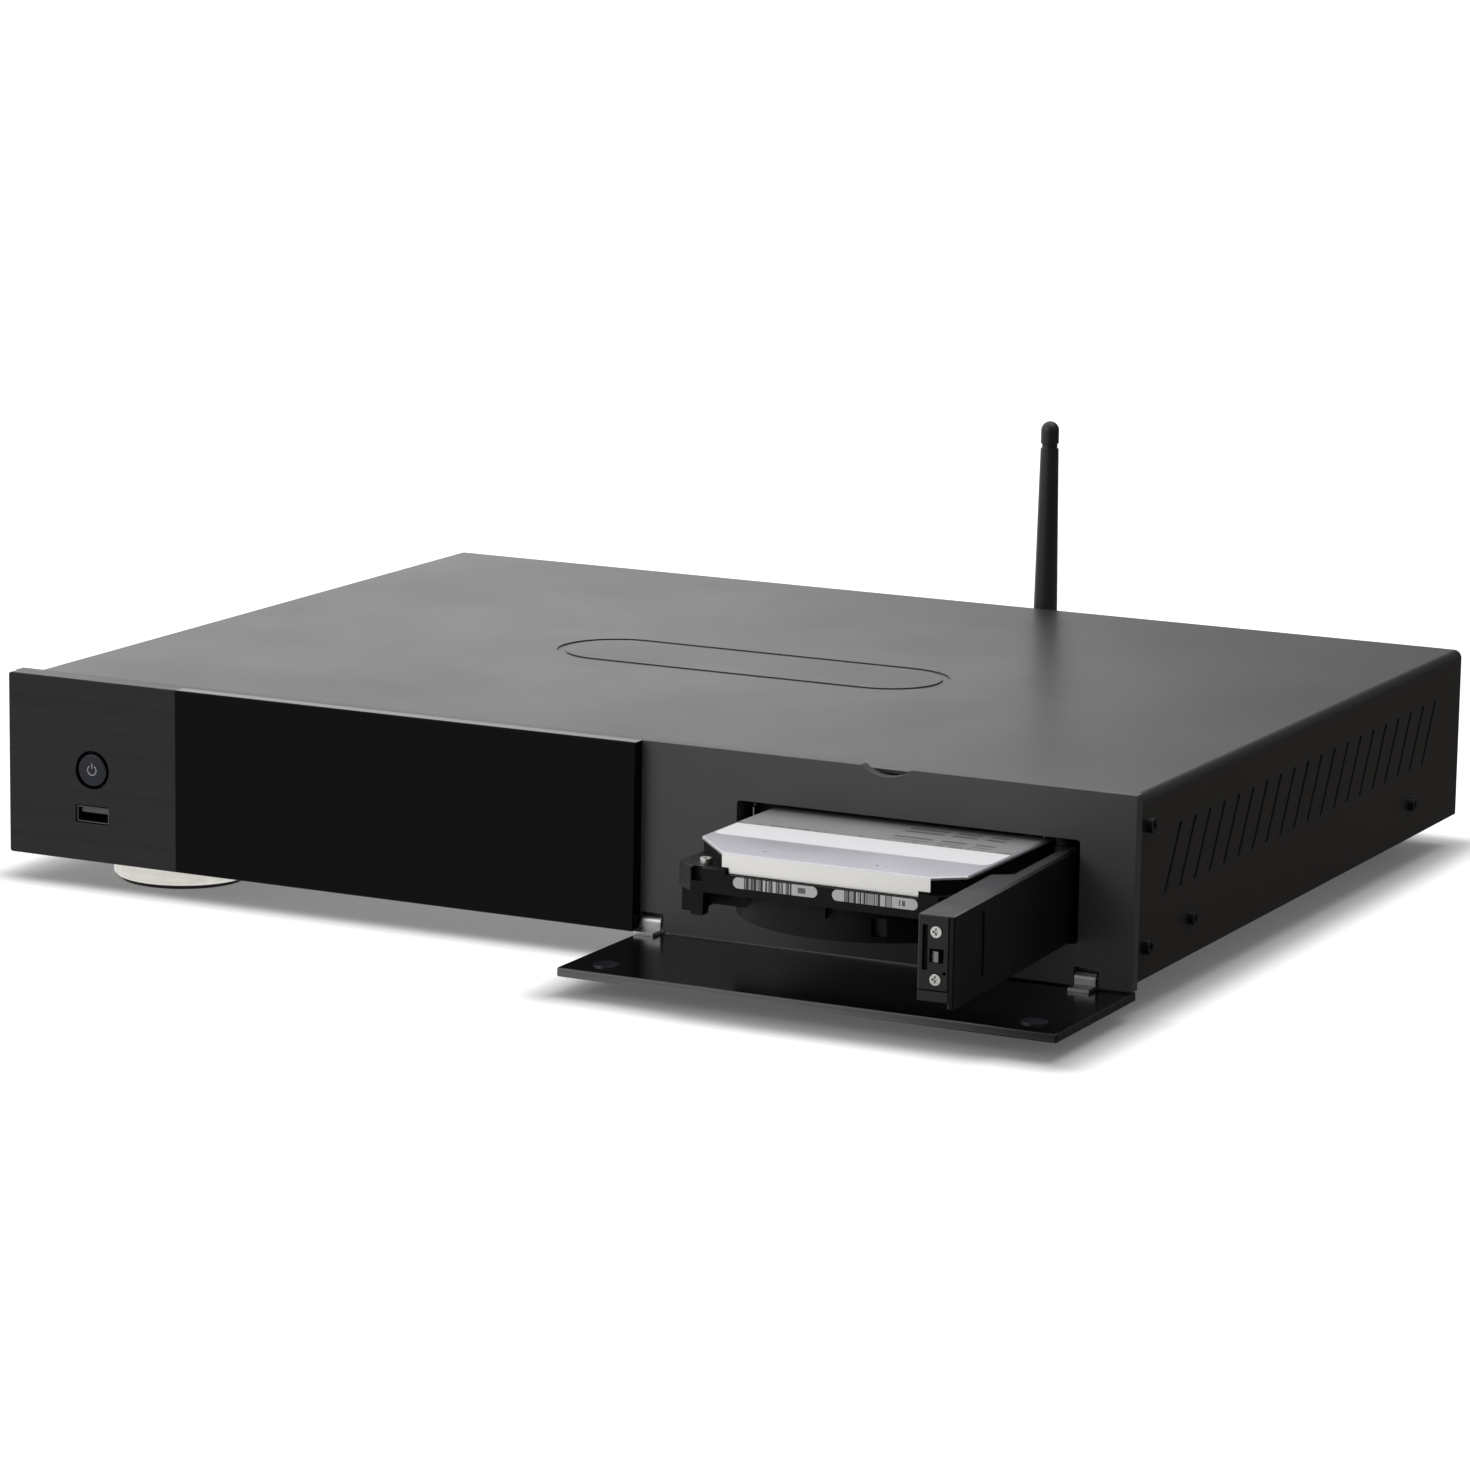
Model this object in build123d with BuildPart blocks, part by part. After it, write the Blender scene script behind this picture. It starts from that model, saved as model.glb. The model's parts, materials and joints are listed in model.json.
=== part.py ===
"""Home media player with a front-loading hard drive rack.

A low steel case stands on four aluminium feet behind a thick front panel. The left of the
panel carries a brushed plate and a dark display window; its right is a drop-down flap. Behind
the flap a swinging rack door lets a bare 3.5 inch drive slide into a cage that floats on rubber.
The model is drawn as it is being loaded: flap down, rack door open, drive part of the way out.

Millimetres. X runs to the right, Y to the back, Z up. The origin is the centre of the four feet
on the surface that the player stands on.
"""
from build123d import *
import math
import os

os.makedirs("parts", exist_ok=True)

# ---------------------------------------------------------------- driving dimensions
# Front and case
front_width = 430.0          # front panel, side to side
front_height = 65.0
floor_gap = 10.0             # surface to the bottom edge of the front
fascia_thickness = 5.0       # the plates on the face of the front panel
panel_thickness = 4.5
case_reveal = 1.5            # case inside the front's edge, all round
case_depth = 312.0
cover_sheet = 1.2
chassis_sheet = 1.2
seam_gap = 0.2               # between sheets that slide over one another
slip = 0.1                   # clearance all round a screw or a stem in its hole

# Fascia: brushed plate, then window, then flap, from left to right. The window takes what is left.
brushed_width = 69.5
flap_width = 178.5
plate_corner_radius = 1.0
plate_edge = 0.3             # bevel round each plate's face
button_inset = 34.8          # middle of the button from the front's left end
button_height = 32.9         # above the bottom edge of the front
button_bore = 13.6
button_cap = 11.8
button_travel = 0.9
usb_width = 13.2             # metal shell of the front socket
usb_height = 5.7
usb_lift = 16.8

# Flap and its two hinge arms
flap_thickness = 3.0
flap_side_gap = 0.8          # between the flap and the window
flap_end_gap = 0.2           # flap's right end inside the front panel's end
flap_floor_clearance = 0.6   # open flap below the bottom edge of the front
hinge_depth = 1.4            # hinge axis behind the front panel's face
hinge_pin = 1.6
arm_width = 7.5
arm_slot_width = 8.8
arm_slot_height = 6.2
left_arm_inset = 3.6         # hinge arms' middles inside the flap's ends
right_arm_inset = 16.0
pad_inset = 12.65            # pads' middles inside the flap's ends
pad_from_top = 14.0          # and below its top edge when it is shut
pad_diameter = 9.0
pad_thickness = 0.4

# Rack opening, rack door and cage
rack_inset = 19.5            # opening inside the front's right end
opening_base = 13.6          # above the bottom edge of the front
opening_radius = 1.2
opening_over_drive = 2.3     # opening's top above the drive's
opening_beside_drive = 9.9   # opening's left edge from the drive's side
pin_inset = 9.3              # door's pin inside the opening's right edge
barrel_radius = 2.8          # wraps the pin
barrel_gap = 0.6             # barrel to the drive's side
door_angle = 93.0            # how far the rack door stands open
door_end_gap = 0.6           # shut door's free end to the frame
door_outer = 7.0             # pin to outer face
door_thickness = 12.0
door_plate = 1.8
door_foot_gap = 1.2          # door above the opening's lower edge
door_head_gap = 4.1          # door below the opening's upper edge
door_pin = 2.5
door_face_setback = 0.5      # shut door's face behind the front panel's face
thick_length = 62.0          # the thick part of the door, from its free end
frame_depth = 14.1
cage_sheet = 1.0
rail_wall = 4.0
head_room = 2.6              # cage's roof above the drive
drive_socket_depth = 3.9

# Hard drive, the common 3.5 inch size
drive_width = 101.6
drive_length = 147.0
drive_height = 26.1
drive_top = 46.0             # above the bottom edge of the front
drive_out = 62.0             # drive's front end ahead of the fascia's face
drive_side_gap = 0.2         # running clearance in the guide rails
dock_gap = 0.3

# Vents
vent_pitch = 13.0
vent_length = 25.6
vent_width = 2.0
vent_lean = 29.5             # degrees, tops towards the back
vent_first = 40.8            # first vent's middle behind the fascia's face
vent_rear_room = 30.0        # last vent's middle at least this far from the back
vent_height = 37.8           # middle, above the bottom edge of the front

# Feet and antenna
foot_diameter = 50.0
foot_height = 11.5
foot_inset_x = 50.5          # feet's middles inside the front's ends
foot_inset_y = 35.75         # and inside the front and the back
foot_pad_diameter = 45.0
foot_pad_proud = 1.5
antenna_x = 39.8
antenna_z = 35.0             # connector axis above the bottom edge of the front
antenna_tip = 134.5          # above the bottom edge of the front
antenna_root_diameter = 9.4
antenna_tip_diameter = 7.0
board_thickness = 1.6
standoff_height = 5.0

# ---------------------------------------------------------------- derived places
case_width = front_width - 2 * case_reveal
case_height = front_height - 2 * case_reveal
overall_depth = fascia_thickness + panel_thickness + case_depth
face_y = -overall_depth / 2
panel_y = face_y + fascia_thickness
case_y = panel_y + panel_thickness
rear_y = case_y + case_depth
case_bottom = floor_gap + case_reveal
case_top = case_bottom + case_height
floor_top = case_bottom + chassis_sheet
front_left = -front_width / 2
front_right = front_width / 2
flap_right = front_right - flap_end_gap
flap_left = flap_right - flap_width
flap_centre = (flap_left + flap_right) / 2
window_left = front_left + brushed_width
window_right = flap_left - flap_side_gap
arm_places = (flap_left + left_arm_inset, flap_right - right_arm_inset)
pad_spread = flap_width / 2 - pad_inset
pad_reach = front_height - pad_from_top
button_x = front_left + button_inset
hinge_y = panel_y + hinge_depth
inner_face_offset = fascia_thickness - flap_thickness + hinge_depth
hinge_z = floor_gap + inner_face_offset - flap_floor_clearance
board_z = floor_top + standoff_height

# The rack is set out from the front's right end: opening, pin, drive, cage.
opening_right = front_right - rack_inset
pivot_x = opening_right - pin_inset
drive_right = pivot_x - barrel_radius - barrel_gap
drive_left = drive_right - drive_width
drive_x = (drive_left + drive_right) / 2
opening_left = drive_left - opening_beside_drive
opening_top = drive_top + opening_over_drive
opening_width = opening_right - opening_left
opening_height = opening_top - opening_base
opening_x = (opening_left + opening_right) / 2
cage_width = drive_width + 2 * (drive_side_gap + rail_wall + cage_sheet)
cage_left = drive_x - cage_width / 2
cage_right = drive_x + cage_width / 2


def back(distance):
    """The Y of a place this far behind the fascia's front face."""
    return face_y + distance


def up(height):
    """The Z of a place this far above the bottom edge of the front."""
    return floor_gap + height


def upright(distance_y):
    """A drawing plane that faces the viewer: local X to the right, local Y up."""
    return Plane.XZ.offset(-distance_y)


def sideways(x):
    """A drawing plane seen from the right: local X to the back, local Y up."""
    return Plane.YZ.offset(x)


def level(z):
    return Plane.XY.offset(z)


def block(x, y, z, mode=Mode.ADD):
    """A plain block between two corners, each argument a (from, to) pair."""
    with Locations(((x[0] + x[1]) / 2, (y[0] + y[1]) / 2, (z[0] + z[1]) / 2)):
        Box(abs(x[1] - x[0]), abs(y[1] - y[0]), abs(z[1] - z[0]), mode=mode)


def seat(x, y, z, outwards):
    """Where a screw's head sits, facing outwards."""
    return Plane(origin=(x, y, z), z_dir=outwards).location


def cut_holes(seats, radius, depth):
    """Straight holes into the part, one below each seat."""
    with Locations(*seats):
        Cylinder(radius, depth, align=(Align.CENTER, Align.CENTER, Align.MAX), mode=Mode.SUBTRACT)


def pan_screws(seats, head, shank, length):
    """Pan-head screws with a cross recess, given by head and shank diameters."""
    head_height = 0.45 * head
    recess_width = 0.17 * head
    with BuildPart() as group:
        with Locations(*seats):
            Cylinder(shank / 2, length, align=(Align.CENTER, Align.CENTER, Align.MAX))
            Cylinder(head / 2, head_height, align=(Align.CENTER, Align.CENTER, Align.MIN))
            with Locations((0, 0, head_height)):
                Box(0.6 * head, recess_width, head_height, mode=Mode.SUBTRACT)
                Box(recess_width, 0.6 * head, head_height, mode=Mode.SUBTRACT)
    return group.part


def socket_shell(x, y, z, width, height, depth, wall, facing=-1):
    """An open-fronted metal or plastic socket; facing -1 looks to the front, 1 to the back."""
    deep_end = y - facing * depth
    block((x - width / 2, x + width / 2), (y, deep_end), (z - height / 2, z + height / 2))
    inner_end = deep_end + facing * wall
    block(
        (x - width / 2 + wall, x + width / 2 - wall),
        (y, inner_end),
        (z - height / 2 + wall, z + height / 2 - wall),
        mode=Mode.SUBTRACT,
    )


# ================================================================ the case
# ---------------------------------------------------------------- top cover
side_screw_inset = 9.0       # behind the front panel's back
side_screw_from_top = 10.5
side_screw_lift = 12.6
cover_screw_lift = 14.3
cover_screw_front = 57.8     # behind the fascia's face
cover_screw_rear = 50.9      # in front of the case's back edge
side_screw_seats = [
    (case_y + side_screw_inset, case_top - side_screw_from_top),
    (case_y + side_screw_inset, up(side_screw_lift)),
]
cover_screw_seats = [
    (back(cover_screw_front), up(cover_screw_lift)),
    (rear_y - cover_screw_rear, up(cover_screw_lift)),
]
side_screw = 4.0
side_screw_head = 5.2
cover_screw = 3.0
cover_screw_head = 4.6
bend_radius = 1.8
vent_count = 1 + int((overall_depth - vent_rear_room - vent_first) / vent_pitch)
bead_length = 154.0
bead_width = 46.0
bead_line = 3.0
bead_depth = 0.4
bead_ahead = 6.5             # bead's middle ahead of the cover's middle

with BuildPart() as top_cover:
    with BuildSketch(upright(case_y)) as cover_profile:
        with Locations((0, (case_bottom + case_top) / 2)):
            Rectangle(case_width, case_height)
        fillet(cover_profile.vertices().group_by(Axis.Y)[-1], bend_radius + cover_sheet)
        with BuildSketch(mode=Mode.PRIVATE) as hollow:
            with Locations((0, (case_bottom + case_top) / 2 - cover_sheet)):
                Rectangle(case_width - 2 * cover_sheet, case_height)
            fillet(hollow.vertices().group_by(Axis.Y)[-1], bend_radius)
        add(hollow.sketch, mode=Mode.SUBTRACT)
    extrude(amount=-case_depth)
    # A row of leaning vents through both sides.
    with BuildSketch(sideways(-case_width)) as vents:
        places = [(back(vent_first + vent_pitch * i), up(vent_height)) for i in range(vent_count)]
        with Locations(*places):
            SlotOverall(vent_length, vent_width, rotation=90 - vent_lean)
    extrude(amount=2 * case_width, mode=Mode.SUBTRACT)
    with BuildSketch(sideways(-case_width)) as cover_holes:
        with Locations(*side_screw_seats):
            Circle(side_screw / 2 + slip)
        with Locations(*cover_screw_seats):
            Circle(cover_screw / 2 + slip)
    extrude(amount=2 * case_width, mode=Mode.SUBTRACT)
    # A plain pressed bead in the middle of the top.
    with BuildSketch(level(case_top)) as bead:
        with Locations((0, case_y + case_depth / 2 - bead_ahead)):
            SlotOverall(bead_length, bead_width)
            SlotOverall(bead_length - 2 * bead_line, bead_width - 2 * bead_line, mode=Mode.SUBTRACT)
    extrude(amount=-bead_depth, mode=Mode.SUBTRACT)
top_cover.part.label = "top_cover"
export_step(top_cover.part, "parts/top_cover.step")

# ---------------------------------------------------------------- bottom chassis
tray_half = case_width / 2 - cover_sheet - seam_gap
flange_height = 17.5
rear_sheet = 1.2
tray_end = rear_y - rear_sheet - seam_gap
foot_x = front_width / 2 - foot_inset_x
foot_y = overall_depth / 2 - foot_inset_y
foot_places = [(i * foot_x, j * foot_y) for i in (-1, 1) for j in (-1, 1)]
foot_screw = 4.0
bracket_thickness = 2.0
bracket_leg = 13.0
bracket_depth = 26.0
panel_screw = 3.0
panel_screw_depth = 3.0
flange_screw_lift = 6.0
flange_screw_x = (62.0 - tray_half, -60.0, 20.0, tray_half - 82.0)
flange_screws = [
    seat(x, case_y + chassis_sheet, up(flange_screw_lift), (0, 1, 0)) for x in flange_screw_x
]

# The drive's place when it is docked sets the cage's length.
pivot_y = back(fascia_thickness + door_face_setback + door_outer)
door_inner = door_thickness - door_outer
docked_front = pivot_y + door_inner + dock_gap
docked_rear = docked_front + drive_length
socket_front = docked_rear + dock_gap
frame_front = case_y + 0.4
cage_front = frame_front + frame_depth
cage_end = socket_front + drive_socket_depth
cage_length = cage_end - cage_front
isolator_inset_x = 14.0      # rubber mounts inside the cage's sides
isolator_inset_y = 20.5      # and inside its ends
isolator_screw = 3.0
isolator_x = drive_x
isolator_y = (cage_front + cage_end) / 2
isolator_reach_x = cage_width / 2 - isolator_inset_x
isolator_reach_y = cage_length / 2 - isolator_inset_y
isolator_places = [
    (isolator_x + i * isolator_reach_x, isolator_y + j * isolator_reach_y)
    for i in (-1, 1)
    for j in (-1, 1)
]

# The main board fills the room between the power board and the cage.
psu_board_inset = 8.1        # power board inside the chassis
psu_board_size = (80.0, 160.0)
psu_board_rear = 20.75       # in front of the case's back edge
board_gap = 12.0
cage_gap = 18.0
main_board_depth = 170.55
main_board_rear = rear_y - rear_sheet - 1.0
psu_left = psu_board_inset - tray_half
psu_board_x = (psu_left, psu_left + psu_board_size[0])
psu_board_y = (rear_y - psu_board_rear - psu_board_size[1], rear_y - psu_board_rear)
psu_x = (psu_board_x[0] + psu_board_x[1]) / 2
main_board_x = (psu_board_x[1] + board_gap, cage_left - cage_gap)
main_board_y = (main_board_rear - main_board_depth, main_board_rear)
heat_sink_x = main_board_x[0] + 82.0
heat_sink_y = main_board_y[0] + 74.0
standoff_inset_x = 6.0
standoff_inset_y = 14.0


def board_corners(x, y):
    """Mounting hole places at the four corners of a circuit board."""
    return [
        (cx, cy)
        for cx in (x[0] + standoff_inset_x, x[1] - standoff_inset_x)
        for cy in (y[0] + standoff_inset_y, y[1] - standoff_inset_y)
    ]


standoff_places = board_corners(main_board_x, main_board_y) + board_corners(psu_board_x, psu_board_y)

with BuildPart() as bottom_chassis:
    with BuildSketch(upright(case_y)) as tray_profile:
        with Locations((0, case_bottom + flange_height / 2)):
            Rectangle(2 * tray_half, flange_height)
        with Locations((0, case_bottom + flange_height / 2 + chassis_sheet)):
            Rectangle(2 * (tray_half - chassis_sheet), flange_height, mode=Mode.SUBTRACT)
    extrude(amount=-(tray_end - case_y))
    # Front flange, bolted to the back of the front panel.
    front_flange_top = up(9.0)
    block(
        (-tray_half, tray_half),
        (case_y, case_y + chassis_sheet),
        (case_bottom, front_flange_top),
    )
    # Corners cleared for the front brackets.
    for side in (-1, 1):
        block(
            (side * (tray_half + 1), side * (tray_half - bracket_leg - seam_gap)),
            (case_y - 1, case_y + bracket_depth + seam_gap),
            (floor_top, case_bottom + flange_height),
            mode=Mode.SUBTRACT,
        )
    cut_holes(flange_screws, panel_screw / 2 + slip, chassis_sheet)
    # Intake slots below the boards.
    with BuildSketch(level(case_bottom)) as intake:
        intake_pitch = (26, 11)
        with Locations((heat_sink_x, heat_sink_y)):
            with GridLocations(*intake_pitch, 4, 9):
                SlotOverall(20, 4)
        with Locations((psu_x, psu_board_y[0] + 66)):
            with GridLocations(*intake_pitch, 2, 9):
                SlotOverall(20, 4)
    extrude(amount=chassis_sheet, mode=Mode.SUBTRACT)
    with BuildSketch(level(case_bottom)) as chassis_holes:
        with Locations(*foot_places):
            Circle(foot_screw / 2 + slip)
        with Locations(*isolator_places):
            Circle(isolator_screw / 2 + slip)
    extrude(amount=chassis_sheet, mode=Mode.SUBTRACT)
    with BuildSketch(sideways(-case_width)) as flange_holes:
        with Locations(*cover_screw_seats):
            Circle(cover_screw / 2 + slip)
    extrude(amount=2 * case_width, mode=Mode.SUBTRACT)
bottom_chassis.part.label = "bottom_chassis"
export_step(bottom_chassis.part, "parts/bottom_chassis.step")

# ---------------------------------------------------------------- rear panel and its sockets
rear_sheet_y = rear_y - rear_sheet
socket_base = board_z + board_thickness
socket_proud = 1.0           # sockets stand this far out of the rear panel
socket_depth = 13.0
inlet_x = psu_x - 14.0
inlet_z = up(26.0)
inlet_size = (27.4, 20.0)
inlet_flange = 2.0
network_x = main_board_x[0] + 20.0
network_size = (16.0, 13.4)
hdmi_x = network_x + 26.0
hdmi_size = (15.0, 6.0)
usb_rear_x = hdmi_x + 24.0
usb_stack_size = (14.4, 15.6)
optical_x = usb_rear_x + 24.0
optical_size = (10.4, 10.4)
audio_x = optical_x + 22.0
audio_pitch = 14.0
audio_rise = 6.5             # lower jack's axis above the board
audio_proud = 7.0
rca_diameter = 8.4
rca_hole = 3.4
thread_diameter = 6.4
antenna_axis_z = up(antenna_z)
exhaust_z = up(38.0)
audio_axes = [socket_base + audio_rise, socket_base + audio_rise + audio_pitch]
rear_half = tray_half - chassis_sheet - seam_gap
rear_flange = 9.0

with BuildPart() as rear_panel:
    with BuildSketch(upright(rear_sheet_y)) as rear_outline:
        rear_height = case_top - cover_sheet - seam_gap - floor_top
        with Locations((0, floor_top + rear_height / 2)):
            Rectangle(2 * rear_half, rear_height)
        standing_sockets = [
            (network_x, network_size),
            (hdmi_x, hdmi_size),
            (usb_rear_x, usb_stack_size),
            (optical_x, optical_size),
        ]
        for x, size in standing_sockets:
            with Locations((x, socket_base + size[1] / 2)):
                Rectangle(size[0] + 2 * slip, size[1] + 2 * slip, mode=Mode.SUBTRACT)
        with Locations((inlet_x, inlet_z)):
            Rectangle(inlet_size[0] + 2 * slip, inlet_size[1] + 2 * slip, mode=Mode.SUBTRACT)
        with Locations(*[(audio_x, z) for z in audio_axes]):
            Circle(rca_diameter / 2 + slip, mode=Mode.SUBTRACT)
        with Locations((antenna_x, antenna_axis_z)):
            Circle(thread_diameter / 2 + slip, mode=Mode.SUBTRACT)
        # Exhaust slots behind the drive cage.
        with Locations((drive_x, exhaust_z)):
            with GridLocations(8, 1, 12, 1):
                SlotOverall(26, 3, rotation=90, mode=Mode.SUBTRACT)
    extrude(amount=-rear_sheet)
    # Foot flange that stands on the chassis floor.
    block(
        (-rear_half, rear_half),
        (rear_sheet_y - rear_flange, rear_sheet_y),
        (floor_top, floor_top + rear_sheet),
    )
rear_panel.part.label = "rear_panel"
export_step(rear_panel.part, "parts/rear_panel.step")

socket_face = rear_y + socket_proud
jack_wall = 1.0

with BuildPart() as network_jack:
    network_mid = socket_base + network_size[1] / 2
    socket_shell(network_x, socket_face, network_mid, *network_size, socket_depth + 2, jack_wall, facing=1)
network_jack.part.label = "network_jack"
export_step(network_jack.part, "parts/network_jack.step")

with BuildPart() as hdmi_socket:
    hdmi_mid = socket_base + hdmi_size[1] / 2
    socket_shell(hdmi_x, socket_face, hdmi_mid, *hdmi_size, socket_depth, 0.6, facing=1)
    block(
        (hdmi_x - 5.5, hdmi_x + 5.5),
        (socket_face - socket_depth, socket_face - 1.5),
        (hdmi_mid - 0.6, hdmi_mid + 0.6),
    )
hdmi_socket.part.label = "hdmi_socket"
export_step(hdmi_socket.part, "parts/hdmi_socket.step")

with BuildPart() as rear_usb_sockets:
    usb_half = usb_stack_size[1] / 2
    for low in (socket_base, socket_base + usb_half):
        usb_mid = low + usb_half / 2
        usb_wide = usb_stack_size[0]
        socket_shell(usb_rear_x, socket_face, usb_mid, usb_wide, usb_half, socket_depth, 0.8, facing=1)
        block(
            (usb_rear_x - 5.6, usb_rear_x + 5.6),
            (socket_face - socket_depth, socket_face - 1.2),
            (low + usb_half - 2.6, low + usb_half - 0.8),
        )
rear_usb_sockets.part.label = "rear_usb_sockets"
export_step(rear_usb_sockets.part, "parts/rear_usb_sockets.step")

with BuildPart() as optical_socket:
    optical_mid = socket_base + optical_size[1] / 2
    block(
        (optical_x - optical_size[0] / 2, optical_x + optical_size[0] / 2),
        (socket_face - socket_depth, socket_face),
        (socket_base, socket_base + optical_size[1]),
    )
    with BuildSketch(upright(socket_face)) as optical_mouth:
        with Locations((optical_x, optical_mid)):
            Rectangle(7.4, 7.4)
        chamfer(optical_mouth.vertices().group_by(Axis.Y)[-1], 1.8)
    extrude(amount=4.5, mode=Mode.SUBTRACT)
optical_shape = optical_socket.part

with BuildPart() as audio_sockets:
    block(
        (audio_x - 6.5, audio_x + 6.5),
        (rear_sheet_y - 10, rear_sheet_y),
        (socket_base, audio_axes[1] + 7),
    )
    barrel_seats = [seat(audio_x, rear_y + audio_proud, z, (0, 1, 0)) for z in audio_axes]
    with Locations(*barrel_seats):
        barrel_length = audio_proud + rear_sheet
        Cylinder(rca_diameter / 2, barrel_length, align=(Align.CENTER, Align.CENTER, Align.MAX))
        Cylinder(rca_hole / 2, 14, align=(Align.CENTER, Align.CENTER, Align.MAX), mode=Mode.SUBTRACT)
    add(optical_shape)
audio_sockets.part.label = "audio_sockets"
export_step(audio_sockets.part, "parts/audio_sockets.step")

with BuildPart() as mains_inlet:
    block(
        (inlet_x - inlet_size[0] / 2 - 4, inlet_x + inlet_size[0] / 2 + 4),
        (rear_y, rear_y + inlet_flange),
        (inlet_z - inlet_size[1] / 2 - 2, inlet_z + inlet_size[1] / 2 + 2),
    )
    socket_shell(inlet_x, rear_y + inlet_flange, inlet_z, *inlet_size, 20.0, 2.0, facing=1)
    # Three contact blades deep in the mouth.
    for blade_x, blade_z in ((-7.0, -2.0), (7.0, -2.0), (0.0, 3.5)):
        block(
            (inlet_x + blade_x - 1.0, inlet_x + blade_x + 1.0),
            (rear_y - 16.5, rear_y - 3.0),
            (inlet_z + blade_z - 2.0, inlet_z + blade_z + 2.0),
        )
mains_inlet.part.label = "mains_inlet"
export_step(mains_inlet.part, "parts/mains_inlet.step")

# ---------------------------------------------------------------- boards and what they carry
board_hole = 3.0
board_top = board_z + board_thickness
board_screw_seats = [seat(x, y, board_top, (0, 0, 1)) for x, y in standoff_places]
usb_board_z = up(usb_lift) - usb_height / 2 - board_thickness
usb_board_x = (button_x - 15.0, button_x + 15.0)
usb_board_y = (case_y + 1.5, case_y + 26.5)
usb_post_y = usb_board_y[1] - 5.0
usb_post_places = [(button_x - 11.0, usb_post_y), (button_x + 11.0, usb_post_y)]
usb_board_screws = [seat(x, y, usb_board_z + board_thickness, (0, 0, 1)) for x, y in usb_post_places]
board_spacer = 3.0
button_spacer_x = [button_x - 12.0, button_x + 12.0]
button_spacer_seats = [seat(x, case_y, up(button_height), (0, 1, 0)) for x in button_spacer_x]
button_screw_y = case_y + board_spacer + board_thickness
button_board_screws = [seat(x, button_screw_y, up(button_height), (0, 1, 0)) for x in button_spacer_x]
heat_sink_size = 52.0
heat_sink_height = 22.0
chip_height = 1.8
fin_count = 12
fin_thickness = 1.2
psu_front = psu_board_y[0]

with BuildPart() as board_standoffs:
    with Locations(*[(x, y, floor_top) for x, y in standoff_places]):
        Cylinder(2.8, standoff_height, align=(Align.CENTER, Align.CENTER, Align.MIN))
    with Locations(*[(x, y, floor_top) for x, y in usb_post_places]):
        Cylinder(2.8, usb_board_z - floor_top, align=(Align.CENTER, Align.CENTER, Align.MIN))
    cut_holes(board_screw_seats + usb_board_screws, board_hole / 2, board_thickness + standoff_height)
board_standoffs.part.label = "board_standoffs"
export_step(board_standoffs.part, "parts/board_standoffs.step")

with BuildPart() as main_board:
    block(main_board_x, main_board_y, (board_z, board_top))
    cut_holes(board_screw_seats[:4], board_hole / 2 + slip, board_thickness)
main_board.part.label = "main_board"
export_step(main_board.part, "parts/main_board.step")

with BuildPart() as power_board:
    block(psu_board_x, psu_board_y, (board_z, board_top))
    cut_holes(board_screw_seats[4:], board_hole / 2 + slip, board_thickness)
power_board.part.label = "power_board"
export_step(power_board.part, "parts/power_board.step")

board_screw_head = 5.4
board_screw_length = 5.6
small_screw = 2.0
with BuildPart() as board_screws:
    flat_seats = board_screw_seats + usb_board_screws
    add(pan_screws(flat_seats, board_screw_head, board_hole - 2 * slip, board_screw_length))
    small_grip = board_thickness + board_spacer
    add(pan_screws(button_board_screws, 1.8 * small_screw, small_screw - 2 * slip, small_grip))
board_screws.part.label = "board_screws"
export_step(board_screws.part, "parts/board_screws.step")

with BuildPart() as board_components:
    chip = heat_sink_size * 0.5
    with Locations((heat_sink_x, heat_sink_y, board_top)):
        Box(chip, chip, chip_height, align=(Align.CENTER, Align.CENTER, Align.MIN))
    with Locations((heat_sink_x, heat_sink_y - 46, board_top)):
        with GridLocations(18, 14, 2, 2):
            Box(14, 9, 1.2, align=(Align.CENTER, Align.CENTER, Align.MIN))
    with Locations((heat_sink_x - 60, heat_sink_y, board_top)):
        with GridLocations(14, 16, 2, 4):
            Cylinder(4, 11, align=(Align.CENTER, Align.CENTER, Align.MIN))
    # Transformer, reservoir capacitors and a cooling plate on the power board.
    with Locations((psu_x, psu_front + 90, board_top)):
        Box(34, 30, 26, align=(Align.CENTER, Align.CENTER, Align.MIN))
        Box(22, 38, 20, align=(Align.CENTER, Align.CENTER, Align.MIN))
    with Locations((psu_x - 20, psu_front + 42, board_top), (psu_x + 20, psu_front + 42, board_top)):
        Cylinder(9, 30, align=(Align.CENTER, Align.CENTER, Align.MIN))
    with Locations((psu_x, psu_front + 130, board_top)):
        Box(60, 2.5, 28, align=(Align.CENTER, Align.CENTER, Align.MIN))
board_components.part.label = "board_components"
export_step(board_components.part, "parts/board_components.step")

with BuildPart() as heat_sink:
    with BuildSketch(upright(heat_sink_y - heat_sink_size / 2)) as fin_profile:
        with Locations((heat_sink_x, board_top + chip_height + 2)):
            Rectangle(heat_sink_size, 4)
        with Locations((heat_sink_x, board_top + chip_height + heat_sink_height / 2)):
            with GridLocations((heat_sink_size - fin_thickness) / (fin_count - 1), 1, fin_count, 1):
                Rectangle(fin_thickness, heat_sink_height)
    extrude(amount=-heat_sink_size)
heat_sink.part.label = "heat_sink"
export_step(heat_sink.part, "parts/heat_sink.step")

# ================================================================ the front
panel_back = back(fascia_thickness + panel_thickness)
display_x = (window_left + window_right) / 2 - 7.0
display_height = 30.0
display_size = (116.0, 22.0)
display_cut = (118.0, 24.0)
collar_diameter = 15.6
collar_thickness = 1.2
collar_room = 17.0
magnet_diameter = 9.0
magnet_thickness = 3.0
bracket_top = case_top - 3.5
notch_width = 18.4
notch_depth = 3.2
opening_z = up(opening_base + opening_height / 2)

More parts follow.
